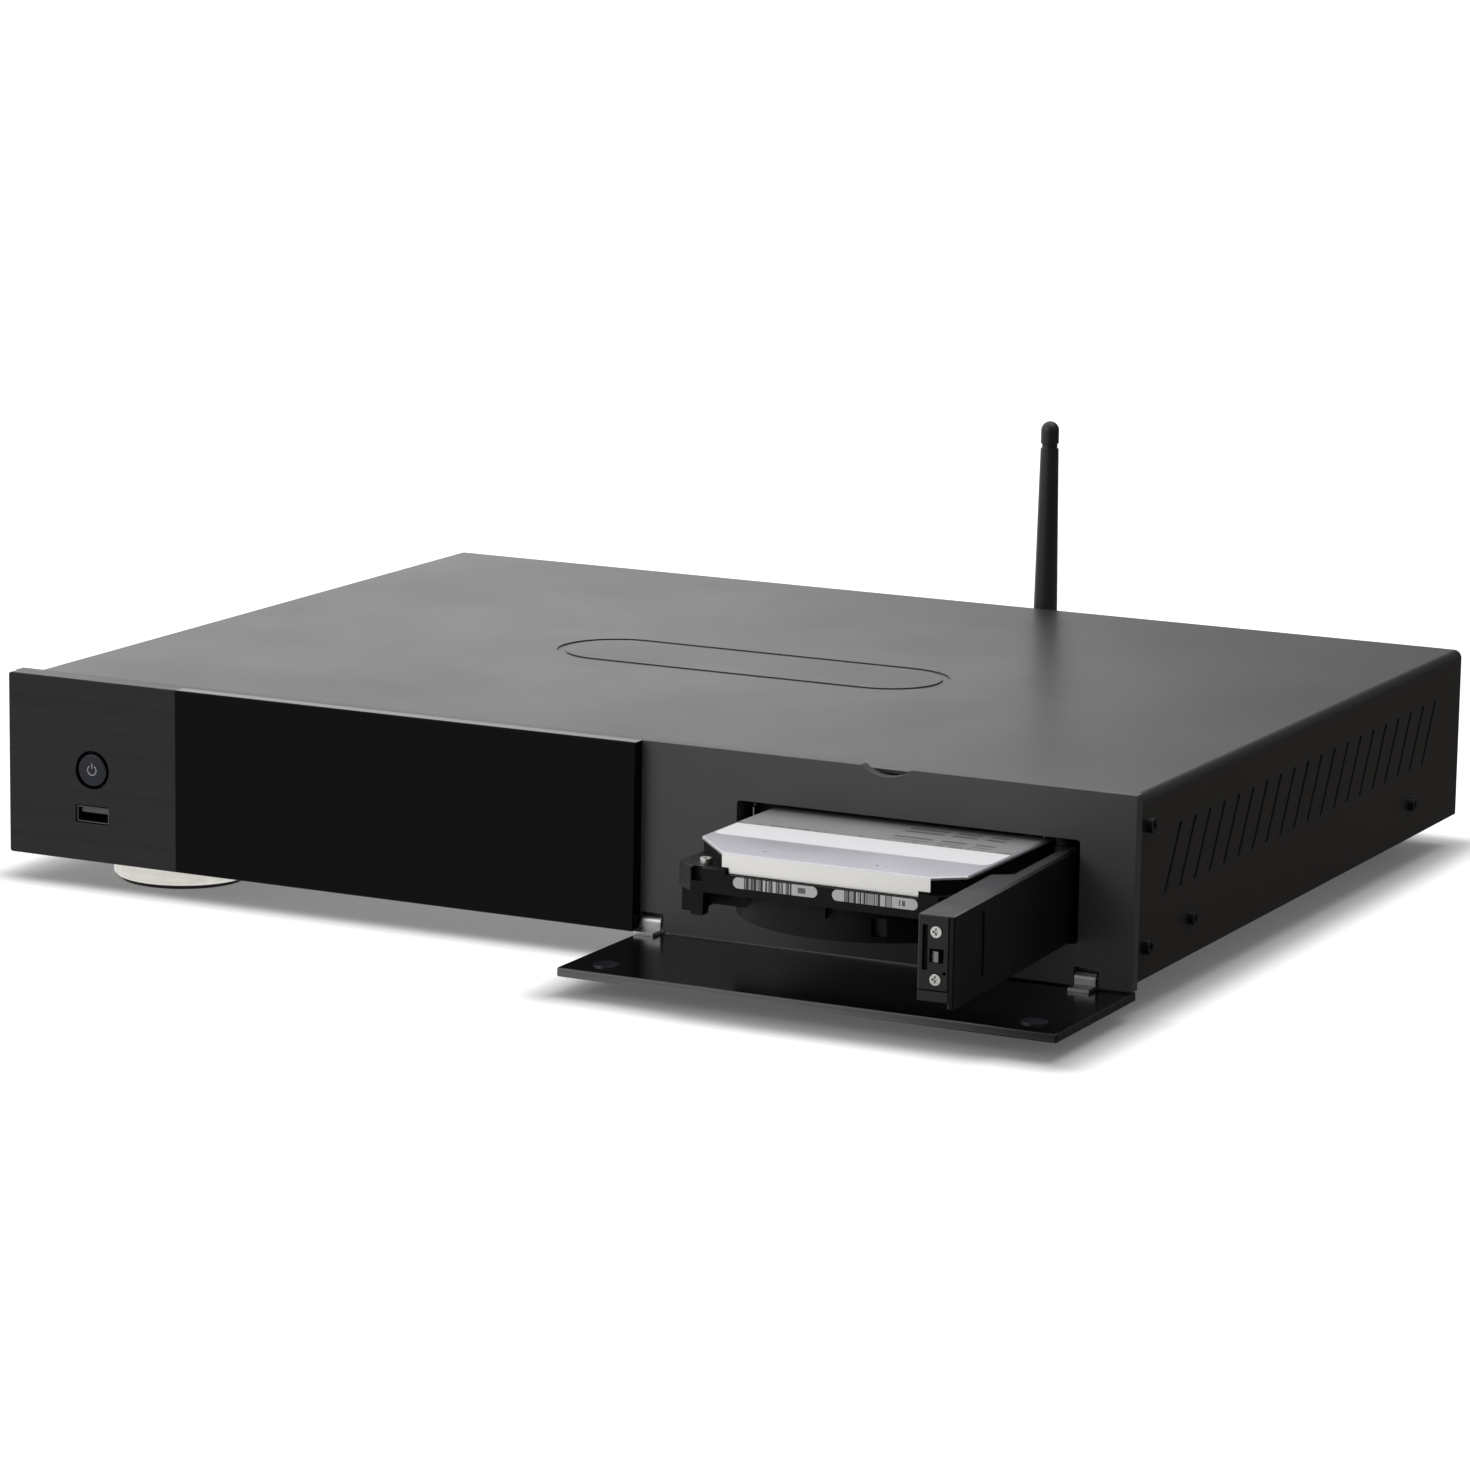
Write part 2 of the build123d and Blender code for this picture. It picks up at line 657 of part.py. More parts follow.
bracket_screw_inset = 7.5
bracket_screw_lifts = (22.0, 40.0)
bracket_screws = [
    seat(side * (tray_half - bracket_screw_inset), case_y + bracket_thickness, up(lift), (0, 1, 0))
    for side in (-1, 1)
    for lift in bracket_screw_lifts
]
magnet_places = [(flap_centre + side * pad_spread, hinge_z + pad_reach) for side in (-1, 1)]
magnet_seats = [seat(x, panel_back, z, (0, 1, 0)) for x, z in magnet_places]

with BuildPart() as front_panel:
    with BuildSketch(upright(panel_y)) as panel_outline:
        with Locations((0, up(front_height / 2))):
            Rectangle(front_width, front_height)
        with Locations((opening_x, opening_z)):
            RectangleRounded(opening_width, opening_height, opening_radius, mode=Mode.SUBTRACT)
        with Locations((display_x, up(display_height))):
            Rectangle(*display_cut, mode=Mode.SUBTRACT)
        with Locations((button_x, up(button_height))):
            Circle(collar_room / 2, mode=Mode.SUBTRACT)
        with Locations((button_x, up(usb_lift))):
            Rectangle(usb_width + 2 * slip, usb_height + 2 * slip, mode=Mode.SUBTRACT)
        # Slots that the flap's hinge arms swing through, open at the bottom.
        with Locations(*[(x, floor_gap + arm_slot_height / 2) for x in arm_places]):
            Rectangle(arm_slot_width, arm_slot_height, mode=Mode.SUBTRACT)
        # Finger notch behind the flap's top edge.
        notch_radius = notch_width**2 / (8 * notch_depth) + notch_depth / 2
        with Locations((flap_centre, up(front_height) + notch_radius - notch_depth)):
            Circle(notch_radius, mode=Mode.SUBTRACT)
    extrude(amount=-panel_thickness)
    # Bores for the hinge pins, either side of each slot.
    pin_grip = 4.0
    for x in arm_places:
        pin_end = seat(x + arm_slot_width / 2 + pin_grip, hinge_y, hinge_z, (1, 0, 0))
        cut_holes([pin_end], hinge_pin / 2, arm_slot_width + 2 * pin_grip)
    # Blind pockets for the flap's magnets, and blind screw holes, in the back face.
    cut_holes(magnet_seats, magnet_diameter / 2, magnet_thickness)
    cut_holes(bracket_screws, panel_screw / 2, bracket_thickness + panel_screw_depth)
    cut_holes(flange_screws, panel_screw / 2, chassis_sheet + panel_screw_depth)
    # Two spacers that hold the button board.
    with Locations(*button_spacer_seats):
        Cylinder(2.6, board_spacer, align=(Align.CENTER, Align.CENTER, Align.MIN))
    cut_holes(button_board_screws, 1.0, board_thickness + board_spacer + 1.0)
front_panel.part.label = "front_panel"
export_step(front_panel.part, "parts/front_panel.step")

with BuildPart() as fascia_plate:
    with BuildSketch(upright(face_y)) as fascia_outline:
        with Locations((front_left + brushed_width / 2, up(front_height / 2))):
            Rectangle(brushed_width, front_height)
        fillet(fascia_outline.vertices().group_by(Axis.X)[0], plate_corner_radius)
        with Locations((button_x, up(button_height))):
            Circle(button_bore / 2, mode=Mode.SUBTRACT)
        with Locations((button_x, up(usb_lift))):
            RectangleRounded(usb_width + 0.6, usb_height + 0.6, 0.6, mode=Mode.SUBTRACT)
    extrude(amount=-fascia_thickness)
    chamfer(fascia_plate.faces().sort_by(Axis.Y)[0].edges(), plate_edge)
fascia_plate.part.label = "fascia_plate"
export_step(fascia_plate.part, "parts/fascia_plate.step")

with BuildPart() as display_window:
    block((window_left, window_right), (face_y, panel_y), (floor_gap, up(front_height)))
    chamfer(display_window.faces().sort_by(Axis.Y)[0].edges(), plate_edge)
display_window.part.label = "display_window"
export_step(display_window.part, "parts/display_window.step")

with BuildPart() as display_board:
    with BuildSketch(upright(panel_back)) as display_outline:
        with Locations((display_x, up(display_height))):
            Rectangle(display_cut[0] + 14, display_cut[1] + 8)
    extrude(amount=-board_thickness)
display_board.part.label = "display_board"
export_step(display_board.part, "parts/display_board.step")

with BuildPart() as display_glass:
    with BuildSketch(upright(panel_y + 0.3)) as glass_outline:
        with Locations((display_x, up(display_height))):
            Rectangle(*display_size)
    extrude(amount=-(panel_thickness - 0.3))
    chamfer(display_glass.faces().sort_by(Axis.Y)[0].edges(), 0.5)
display_glass.part.label = "display_glass"
export_step(display_glass.part, "parts/display_glass.step")

with BuildPart() as front_boards:
    board_front = panel_back + board_spacer
    with BuildSketch(upright(board_front)) as button_board_outline:
        with Locations((button_x, up(button_height))):
            Rectangle(32, 18)
    extrude(amount=-board_thickness)
    cut_holes(button_board_screws, 1.1, board_thickness)
    # The flat board below it carries the front socket.
    block(usb_board_x, usb_board_y, (usb_board_z, usb_board_z + board_thickness))
    cut_holes(usb_board_screws, board_hole / 2 + slip, board_thickness)
front_boards.part.label = "front_boards"
export_step(front_boards.part, "parts/front_boards.step")

plunger_room = 1.4           # button's stem to the front panel's back
stem_end = fascia_thickness + panel_thickness - plunger_room
with BuildPart() as power_switch:
    block(
        (button_x - 3, button_x + 3),
        (panel_back, board_front),
        (up(button_height) - 3, up(button_height) + 3),
    )
    with Locations(seat(button_x, panel_back, up(button_height), (0, -1, 0))):
        plunger = panel_back - back(stem_end) - button_travel - 0.05
        Cylinder(1.6, plunger, align=(Align.CENTER, Align.CENTER, Align.MIN))
power_switch.part.label = "power_switch"
export_step(power_switch.part, "parts/power_switch.step")

with BuildPart() as power_button:
    with Locations(seat(button_x, panel_y + 0.2, up(button_height), (0, -1, 0))):
        Cylinder(button_cap / 2, fascia_thickness + 0.2, align=(Align.CENTER, Align.CENTER, Align.MIN))
    fillet(power_button.faces().sort_by(Axis.Y)[0].edges(), 0.8)
    with Locations(seat(button_x, panel_y + 0.2, up(button_height), (0, 1, 0))):
        Cylinder(collar_diameter / 2, collar_thickness, align=(Align.CENTER, Align.CENTER, Align.MIN))
        stem_length = back(stem_end) - panel_y - 0.2
        Cylinder(2.5, stem_length, align=(Align.CENTER, Align.CENTER, Align.MIN))
power_button.part.label = "power_button"
export_step(power_button.part, "parts/power_button.step")

with BuildPart() as front_usb_socket:
    socket_shell(button_x, back(0.6), up(usb_lift), usb_width, usb_height, 14.0, 0.4)
    # Contact tongue under the roof of the shell.
    block(
        (button_x - 5.6, button_x + 5.6),
        (back(2.0), back(14.6)),
        (up(usb_lift) + 0.4, up(usb_lift) + 2.2),
    )
front_usb_socket.part.label = "front_usb_socket"
export_step(front_usb_socket.part, "parts/front_usb_socket.step")

with BuildPart() as front_brackets:
    for side in (-1, 1):
        outer = side * tray_half
        block(
            (outer, outer - side * bracket_leg),
            (case_y, case_y + bracket_thickness),
            (floor_top, bracket_top),
        )
        block(
            (outer, outer - side * bracket_thickness),
            (case_y, case_y + bracket_depth),
            (floor_top, bracket_top),
        )
    cut_holes(bracket_screws, panel_screw / 2 + slip, bracket_thickness)
    for side in (-1, 1):
        side_seats = [seat(side * tray_half, y, z, (side, 0, 0)) for y, z in side_screw_seats]
        cut_holes(side_seats, side_screw / 2 + slip, bracket_thickness)
front_brackets.part.label = "front_brackets"
export_step(front_brackets.part, "parts/front_brackets.step")

panel_screw_head = 5.4
panel_screw_tip = 0.3        # room left at the bottom of a blind hole
with BuildPart() as panel_screws:
    panel_grip = panel_screw_depth - panel_screw_tip
    shank = panel_screw - 2 * slip
    add(pan_screws(bracket_screws, panel_screw_head, shank, bracket_thickness + panel_grip))
    add(pan_screws(flange_screws, panel_screw_head, shank, chassis_sheet + panel_grip))
panel_screws.part.label = "panel_screws"
export_step(panel_screws.part, "parts/panel_screws.step")

with BuildPart() as flap_magnets:
    with Locations(*magnet_seats):
        magnet_radius = magnet_diameter / 2 - slip
        Cylinder(magnet_radius, magnet_thickness, align=(Align.CENTER, Align.CENTER, Align.MAX))
flap_magnets.part.label = "flap_magnets"
export_step(flap_magnets.part, "parts/flap_magnets.step")

hinge_pin_slip = 0.05
with BuildPart() as flap_hinge_pins:
    with Locations(*[seat(x, hinge_y, hinge_z, (1, 0, 0)) for x in arm_places]):
        Cylinder(hinge_pin / 2 - hinge_pin_slip, arm_slot_width + 2 * pin_grip)
flap_hinge_pins.part.label = "flap_hinge_pins"
export_step(flap_hinge_pins.part, "parts/flap_hinge_pins.step")

# ---------------------------------------------------------------- cover and side screws
side_heads = [
    seat(side * case_width / 2, y, z, (side, 0, 0)) for side in (-1, 1) for y, z in side_screw_seats
]
with BuildPart() as side_screws:
    add(pan_screws(side_heads, side_screw_head, side_screw, 5.0))
side_screws.part.label = "side_screws"
export_step(side_screws.part, "parts/side_screws.step")

cover_heads = [
    seat(side * case_width / 2, y, z, (side, 0, 0)) for side in (-1, 1) for y, z in cover_screw_seats
]
with BuildPart() as cover_screws:
    add(pan_screws(cover_heads, cover_screw_head, cover_screw, 5.0))
cover_screws.part.label = "cover_screws"
export_step(cover_screws.part, "parts/cover_screws.step")

# ================================================================ the feet
foot_bottom = foot_pad_proud
foot_screw_head = 7.0
foot_counterbore = 8.4
foot_counterbore_top = 6.0
with BuildPart() as one_foot:
    with BuildSketch(Plane.XZ) as foot_profile:
        with BuildLine():
            outer_radius = foot_diameter / 2
            pad_room = foot_pad_diameter / 2 + slip
            Polyline(
                (foot_screw / 2 + slip, foot_counterbore_top),
                (foot_counterbore / 2, foot_counterbore_top),
                (foot_counterbore / 2, foot_bottom + foot_pad_proud),
                (pad_room, foot_bottom + foot_pad_proud),
                (pad_room, foot_bottom),
                (outer_radius - 1.0, foot_bottom),
                (outer_radius, foot_bottom + 1.0),
                (outer_radius, case_bottom),
                (foot_screw / 2 + slip, case_bottom),
                close=True,
            )
        make_face()
    revolve(axis=Axis.Z)
with BuildPart() as foot_rings:
    with Locations(*[(x, y, 0) for x, y in foot_places]):
        add(one_foot.part)
foot_rings.part.label = "foot_rings"
export_step(foot_rings.part, "parts/foot_rings.step")

with BuildPart() as foot_pads:
    with Locations(*[(x, y, 0) for x, y in foot_places]):
        pad_height = foot_bottom + foot_pad_proud
        standing = (Align.CENTER, Align.CENTER, Align.MIN)
        Cylinder(foot_pad_diameter / 2, pad_height, align=standing)
        Cylinder(foot_counterbore / 2, pad_height, align=standing, mode=Mode.SUBTRACT)
foot_pads.part.label = "foot_pads"
export_step(foot_pads.part, "parts/foot_pads.step")

foot_heads = [seat(x, y, foot_counterbore_top, (0, 0, -1)) for x, y in foot_places]
with BuildPart() as foot_screws:
    add(pan_screws(foot_heads, foot_screw_head, foot_screw, floor_top - foot_counterbore_top + 1.5))
foot_screws.part.label = "foot_screws"
export_step(foot_screws.part, "parts/foot_screws.step")

# ================================================================ the drive rack
drive_bottom = up(drive_top) - drive_height
drive_front = back(-drive_out)
ledge_gap = 0.1
ledge_rise = 3.2
cage_floor_top = drive_bottom - ledge_gap - ledge_rise
cage_base = cage_floor_top - cage_sheet
cage_height = up(drive_top) + head_room + cage_sheet - cage_base

frame_x = (opening_left - 3.3, opening_right + 2.5)
frame_z = (up(opening_base - 4.1), up(opening_top + 3.5))
frame_clear_x = (opening_left + 0.3, opening_right - 0.7)
frame_clear_z = (up(opening_base + 0.1), up(opening_top - 0.1))
door_length = pivot_x - frame_clear_x[0] - door_end_gap
door_base = up(opening_base + door_foot_gap)
door_top = up(opening_top - door_head_gap)
door_body_base = door_base + 2.1
latch_t = 1.2                # latch bolt from the pin's plane, towards the outer face
cap_base = door_body_base + 3.4
latch_z = (cap_base + door_top) / 2 - 0.8
bolt_size = (2.4, 3.4)
bolt_proud = 1.4
pin_slip = 0.05

with BuildPart() as rack_frame:
    with BuildSketch(upright(frame_front)) as frame_outline:
        with Locations((sum(frame_x) / 2, sum(frame_z) / 2)):
            RectangleRounded(frame_x[1] - frame_x[0], frame_z[1] - frame_z[0], 2)
        with Locations((sum(frame_clear_x) / 2, sum(frame_clear_z) / 2)):
            Rectangle(
                frame_clear_x[1] - frame_clear_x[0], frame_clear_z[1] - frame_clear_z[0], mode=Mode.SUBTRACT
            )
    extrude(amount=-(cage_front - frame_front))
    # Back wall of the frame, with the mouth that the drive passes through.
    with BuildSketch(upright(cage_front - 2.0)) as mouth_outline:
        with Locations((sum(frame_x) / 2, sum(frame_z) / 2)):
            RectangleRounded(frame_x[1] - frame_x[0], frame_z[1] - frame_z[0], 2)
        mouth_top = up(opening_top - 0.3)
        mouth_base = cage_floor_top
        with Locations((drive_x, (mouth_top + mouth_base) / 2)):
            Rectangle(drive_width + 3.2, mouth_top - mouth_base, mode=Mode.SUBTRACT)
    extrude(amount=-2.0)
    # Boss under the top bar that holds the upper end of the door's pin.
    with BuildSketch(level(door_top + 0.3)) as boss:
        with Locations((pivot_x, pivot_y)):
            Circle(2.4)
        with Locations((pivot_x, (pivot_y + cage_front) / 2)):
            Rectangle(4.8, cage_front - pivot_y)
    extrude(amount=frame_clear_z[1] - door_top - 0.3)
    cut_holes([seat(pivot_x, pivot_y, frame_z[1], (0, 0, 1))], door_pin / 2, frame_z[1] - frame_z[0])
    # Strike pocket for the latch bolt in the left bar.
    block(
        (frame_x[0], frame_clear_x[0]),
        (pivot_y - latch_t - 2.4, pivot_y - latch_t + 2.4),
        (latch_z - 3.0, latch_z + 3.0),
        mode=Mode.SUBTRACT,
    )
rack_frame.part.label = "rack_frame"
export_step(rack_frame.part, "parts/rack_frame.step")

with BuildPart() as rack_door_pin:
    with Locations((pivot_x, pivot_y, frame_z[0])):
        Cylinder(
            door_pin / 2 - pin_slip, frame_z[1] - frame_z[0], align=(Align.CENTER, Align.CENTER, Align.MIN)
        )
rack_door_pin.part.label = "rack_door_pin"
export_step(rack_door_pin.part, "parts/rack_door_pin.step")

flange = 8.0
mount_heads = [seat(x, y, cage_floor_top, (0, 0, 1)) for x, y in isolator_places]
with BuildPart() as rack_cage:
    with BuildSketch(upright(cage_front)) as cage_profile:
        with Locations((drive_x, cage_base + cage_height / 2)):
            Rectangle(cage_width, cage_height)
            Rectangle(cage_width - 2 * cage_sheet, cage_height - 2 * cage_sheet, mode=Mode.SUBTRACT)
        with Locations((drive_x, cage_base + cage_height)):
            Rectangle(cage_width - 2 * cage_sheet - 2 * flange, 3 * cage_sheet, mode=Mode.SUBTRACT)
    extrude(amount=-cage_length)
    # Tabs at the back that the backplane is fixed to.
    for side in (-1, 1):
        inner = drive_x + side * (cage_width / 2 - cage_sheet)
        block(
            (inner, inner - side * flange),
            (cage_end - cage_sheet, cage_end),
            (cage_base, cage_base + cage_height),
        )
    # Cooling slots in both sides and the floor.
    with BuildSketch(sideways(cage_left - 1)) as side_slots:
        with Locations(((cage_front + cage_end) / 2, cage_base + cage_height * 0.72)):
            with GridLocations(24, 1, 5, 1):
                SlotOverall(18, 6)
    extrude(amount=cage_width + 2, mode=Mode.SUBTRACT)
    with BuildSketch(level(cage_base)) as floor_slots:
        with Locations((isolator_x, isolator_y)):
            with GridLocations(14, 26, 4, 3):
                SlotOverall(20, 6, rotation=90)
    extrude(amount=cage_sheet, mode=Mode.SUBTRACT)
    cut_holes(mount_heads, isolator_screw / 2 + slip, cage_sheet)
rack_cage.part.label = "rack_cage"
export_step(rack_cage.part, "parts/rack_cage.step")

rail_inner = drive_width / 2 + drive_side_gap
rail_outer = cage_width / 2 - cage_sheet
rail_rise = 17.0
ledge_reach = 4.0
with BuildPart() as guide_rails:
    with BuildSketch(upright(cage_front + 1.0)) as rail_profile:
        for side in (-1, 1):
            rail_x = drive_x + side * (rail_inner + rail_outer) / 2
            ledge_x = drive_x + side * (rail_inner - ledge_reach / 2)
            with Locations((rail_x, cage_floor_top + rail_rise / 2)):
                Rectangle(rail_outer - rail_inner, rail_rise)
            with Locations((ledge_x, cage_floor_top + ledge_rise / 2)):
                Rectangle(ledge_reach, ledge_rise)
    extrude(amount=-(cage_length - 6.0))
guide_rails.part.label = "guide_rails"
export_step(guide_rails.part, "parts/guide_rails.step")

with BuildPart() as one_mount:
    with BuildSketch(Plane.XZ) as mount_profile:
        with BuildLine():
            mount_height = cage_base - floor_top
            mount_rim = 2.4
            mount_neck = 3.8
            Polyline(
                (isolator_screw / 2 + slip, 0),
                (7.0, 0),
                (7.0, mount_rim),
                (5.0, mount_neck),
                (5.0, mount_height - mount_neck),
                (7.0, mount_height - mount_rim),
                (7.0, mount_height),
                (isolator_screw / 2 + slip, mount_height),
                close=True,
            )
        make_face()
    revolve(axis=Axis.Z)
with BuildPart() as rubber_mounts:
    with Locations(*[(x, y, floor_top) for x, y in isolator_places]):
        add(one_mount.part)
rubber_mounts.part.label = "rubber_mounts"
export_step(rubber_mounts.part, "parts/rubber_mounts.step")

with BuildPart() as mount_screws:
    add(pan_screws(mount_heads, 6.0, isolator_screw, cage_floor_top - case_bottom))
mount_screws.part.label = "mount_screws"
export_step(mount_screws.part, "parts/mount_screws.step")

plug_x = drive_x + 20.0
plug_z = drive_bottom + 5.2
plug_width = 40.0
plug_height = 6.4
plug_depth = 7.0
tongue_width = 34.0
tongue_height = 1.4
tongue_reach = 4.0
with BuildPart() as backplane:
    block(
        (cage_left + 2, cage_right - 2),
        (cage_end, cage_end + board_thickness),
        (cage_base + 2, cage_base + cage_height - 4),
    )
backplane.part.label = "backplane"
export_step(backplane.part, "parts/backplane.step")

with BuildPart() as drive_socket:
    block(
        (plug_x - plug_width / 2, plug_x + plug_width / 2),
        (socket_front, cage_end),
        (plug_z - plug_height / 2, plug_z + plug_height / 2),
    )
    block(
        (plug_x - tongue_width / 2, plug_x + tongue_width / 2),
        (socket_front - tongue_reach, socket_front),
        (plug_z - tongue_height / 2, plug_z + tongue_height / 2),
    )
drive_socket.part.label = "drive_socket"
export_step(drive_socket.part, "parts/drive_socket.step")

# ================================================================ the rack door
# Drawn in its own plane: local X runs from the pin to the free end, local Y to the outer face.
swing = math.radians(180 + door_angle)
door_plane = Plane(
    origin=(pivot_x, pivot_y, 0), x_dir=(math.cos(swing), math.sin(swing), 0), z_dir=(0, 0, 1)
)
cap_thickness = 2.0
cap_slot = (1.9, 14.4)
cap_edge = 0.3
door_axis = Axis(origin=door_plane.origin, direction=door_plane.x_dir)
body_end = door_length - cap_thickness
body_outer = door_outer - door_plate
thin_inner = 1.5
thick_start = door_length - thick_length


def door_level(z):
    """A drawing plane at height z in the door's own directions."""
    return door_plane.offset(z)

door_screw_t = 1.0
door_screw_pitch = 15.1
door_screw_z = (latch_z + door_screw_pitch / 2, latch_z - door_screw_pitch / 2)
door_screw_head = 3.7
door_screw_shank = 2.2
door_screw_sink = 1.4
recess_size = (17.5, 21.0)
recess_place = (door_length - 17.0, latch_z - 0.5)
recess_depth = 0.4


def door_end_seat(s, t, z):
    """A seat on the door's free end, facing outwards along the door."""
    point = door_plane.from_local_coords(Vector(s, t, z))
    return Plane(origin=point, z_dir=door_plane.x_dir).location


door_screw_seats = [door_end_seat(door_length - door_screw_sink, door_screw_t, z) for z in door_screw_z]

with BuildPart() as rack_door_body:
    with BuildSketch(door_level(door_body_base)) as door_plan:
        with BuildLine():
            Polyline(
                (0, body_outer),
                (body_end, body_outer),
                (body_end, -door_inner),
                (thick_start, -door_inner),
                (thick_start - 4, thin_inner),
                (0, thin_inner),
                close=True,
            )
        make_face()
        Circle(barrel_radius)
    extrude(amount=door_top - door_body_base)
    # Lip below the cap, flush with it.
    with BuildSketch(door_level(door_body_base)) as lip_plan:
        with Locations((body_end + cap_thickness / 2, (body_outer - door_inner) / 2)):
            Rectangle(cap_thickness, body_outer + door_inner)
    extrude(amount=cap_base - 0.2 - door_body_base)
    # Hollows in the thick part, open towards the drive, either side of the latch beam.
    wall = 1.8
    for low, high in ((door_body_base + wall, latch_z - 4.5), (latch_z + 4.5, door_top - wall)):
        with BuildSketch(door_level(low)) as hollow_plan:
            with Locations(((thick_start + body_end) / 2, (body_outer - wall - door_inner) / 2)):
                Rectangle(body_end - thick_start - 3 * wall, body_outer - wall + door_inner)
        extrude(amount=high - low, mode=Mode.SUBTRACT)
    # Channel for the latch bolt and its spring.
    channel = 24.0
    with BuildSketch(door_level(latch_z - bolt_size[1] / 2 - slip)) as channel_plan:
        with Locations((body_end - channel / 2, latch_t)):
            Rectangle(channel, bolt_size[0] + 2 * slip)
    extrude(amount=bolt_size[1] + 2 * slip, mode=Mode.SUBTRACT)
    # Bore for the pin, and holes for the cap's screws.
    with BuildSketch(door_level(door_body_base)) as bore_plan:
        Circle(door_pin / 2)
    extrude(amount=door_top - door_body_base, mode=Mode.SUBTRACT)
    cut_holes(door_screw_seats, door_screw_shank / 2 + slip, 9.0)
rack_door_body.part.label = "rack_door_body"
export_step(rack_door_body.part, "parts/rack_door_body.step")

with BuildPart() as rack_door_cap:
    with BuildSketch(door_level(cap_base)) as cap_plan:
        with Locations((body_end + cap_thickness / 2, (body_outer - door_inner) / 2)):
            Rectangle(cap_thickness, body_outer + door_inner)
    extrude(amount=door_top - cap_base)
    chamfer(rack_door_cap.faces().sort_by(door_axis)[-1].edges(), cap_edge)
    # Window for the latch bolt, and the long slot beside it.
    with BuildSketch(door_level(latch_z - 2.2)) as window_plan:
        with Locations((door_length, latch_t)):
            Rectangle(3 * cap_thickness, 4.6)
    extrude(amount=4.4, mode=Mode.SUBTRACT)
    with BuildSketch(door_level(latch_z - cap_slot[1] / 2 + 2.4)) as slot_plan:
        with Locations((door_length, -door_inner + 2.4)):
            Rectangle(3 * cap_thickness, cap_slot[0])
    extrude(amount=cap_slot[1], mode=Mode.SUBTRACT)
    # Small hole through which a locked latch can be freed.
    cut_holes([door_end_seat(door_length, door_screw_t + 2.9, latch_z - 5.4)], 0.6, cap_thickness)
    head_seats = [door_end_seat(door_length, door_screw_t, z) for z in door_screw_z]
    cut_holes(head_seats, door_screw_head / 2 + slip, door_screw_sink)
    cut_holes(door_screw_seats, door_screw_shank / 2 + slip, 9.0)
rack_door_cap.part.label = "rack_door_cap"
export_step(rack_door_cap.part, "parts/rack_door_cap.step")

with BuildPart() as rack_door_face:
    with BuildSketch(door_level(door_base)) as face_plan:
        with Locations((door_length / 2, body_outer + door_plate / 2)):
            Rectangle(door_length, door_plate)
    extrude(amount=door_top - door_base)
    chamfer(rack_door_face.faces().sort_by(door_axis)[-1].edges(), cap_edge)
    # Shallow thumb recess near the free end.
    with BuildSketch(door_level(recess_place[1] - recess_size[1] / 2)) as recess_plan:
        with Locations((recess_place[0], door_outer)):
            Rectangle(recess_size[0], 2 * recess_depth)
    extrude(amount=recess_size[1], mode=Mode.SUBTRACT)
rack_door_face.part.label = "rack_door_face"
export_step(rack_door_face.part, "parts/rack_door_face.step")

with BuildPart() as rack_door_screws:
    add(pan_screws(door_screw_seats, door_screw_head, door_screw_shank, 8.0))
rack_door_screws.part.label = "rack_door_screws"
export_step(rack_door_screws.part, "parts/rack_door_screws.step")

bolt_length = 14.0
with BuildPart() as latch_bolt:
    with BuildSketch(door_level(latch_z - bolt_size[1] / 2)) as bolt_plan:
        with Locations((door_length + bolt_proud - bolt_length / 2, latch_t)):
            Rectangle(bolt_length, bolt_size[0])
        beyond_tip = door_plane.from_local_coords(Vector(door_length + 9, 9, latch_z))
        chamfer(bolt_plan.vertices().sort_by_distance(beyond_tip)[0], 1.0)
    extrude(amount=bolt_size[1])
latch_bolt.part.label = "latch_bolt"
export_step(latch_bolt.part, "parts/latch_bolt.step")

# ================================================================ the flap
flap_rear = hinge_y + (hinge_z - floor_gap)
flap_front = flap_rear - front_height
flap_top = hinge_z - inner_face_offset
barrel = 2.2
arm_foot = 1.2

with BuildPart() as flap_panel:
    block((flap_left, flap_right), (flap_front, flap_rear), (flap_top - flap_thickness, flap_top))
    chamfer(flap_panel.edges().filter_by(Axis.Z), 0.5)
    chamfer(flap_panel.faces().sort_by(Axis.Z)[-1].edges(), plate_edge)
    chamfer(flap_panel.faces().sort_by(Axis.Z)[0].edges(), plate_edge)
flap_panel.part.label = "flap_panel"
export_step(flap_panel.part, "parts/flap_panel.step")

with BuildPart() as flap_arms:
    for x in arm_places:
        with BuildSketch(sideways(x - arm_width / 2)) as arm_profile:
            with Locations((hinge_y, hinge_z)):
                Circle(barrel)
            with Locations((hinge_y, (hinge_z + flap_top) / 2)):
                Rectangle(2 * barrel, hinge_z - flap_top)
            with Locations((hinge_y - 2.6, flap_top + arm_foot / 2)):
                Rectangle(10.0, arm_foot)
        extrude(amount=arm_width)
        cut_holes([seat(x + arm_width, hinge_y, hinge_z, (1, 0, 0))], hinge_pin / 2, 2 * arm_width)
flap_arms.part.label = "flap_arms"
export_step(flap_arms.part, "parts/flap_arms.step")

with BuildPart() as flap_pads:
    with Locations(
        (flap_centre - pad_spread, hinge_y - pad_reach, flap_top),
        (flap_centre + pad_spread, hinge_y - pad_reach, flap_top),
    ):
        Cylinder(pad_diameter / 2, pad_thickness, align=(Align.CENTER, Align.CENTER, Align.MIN))
flap_pads.part.label = "flap_pads"
export_step(flap_pads.part, "parts/flap_pads.step")

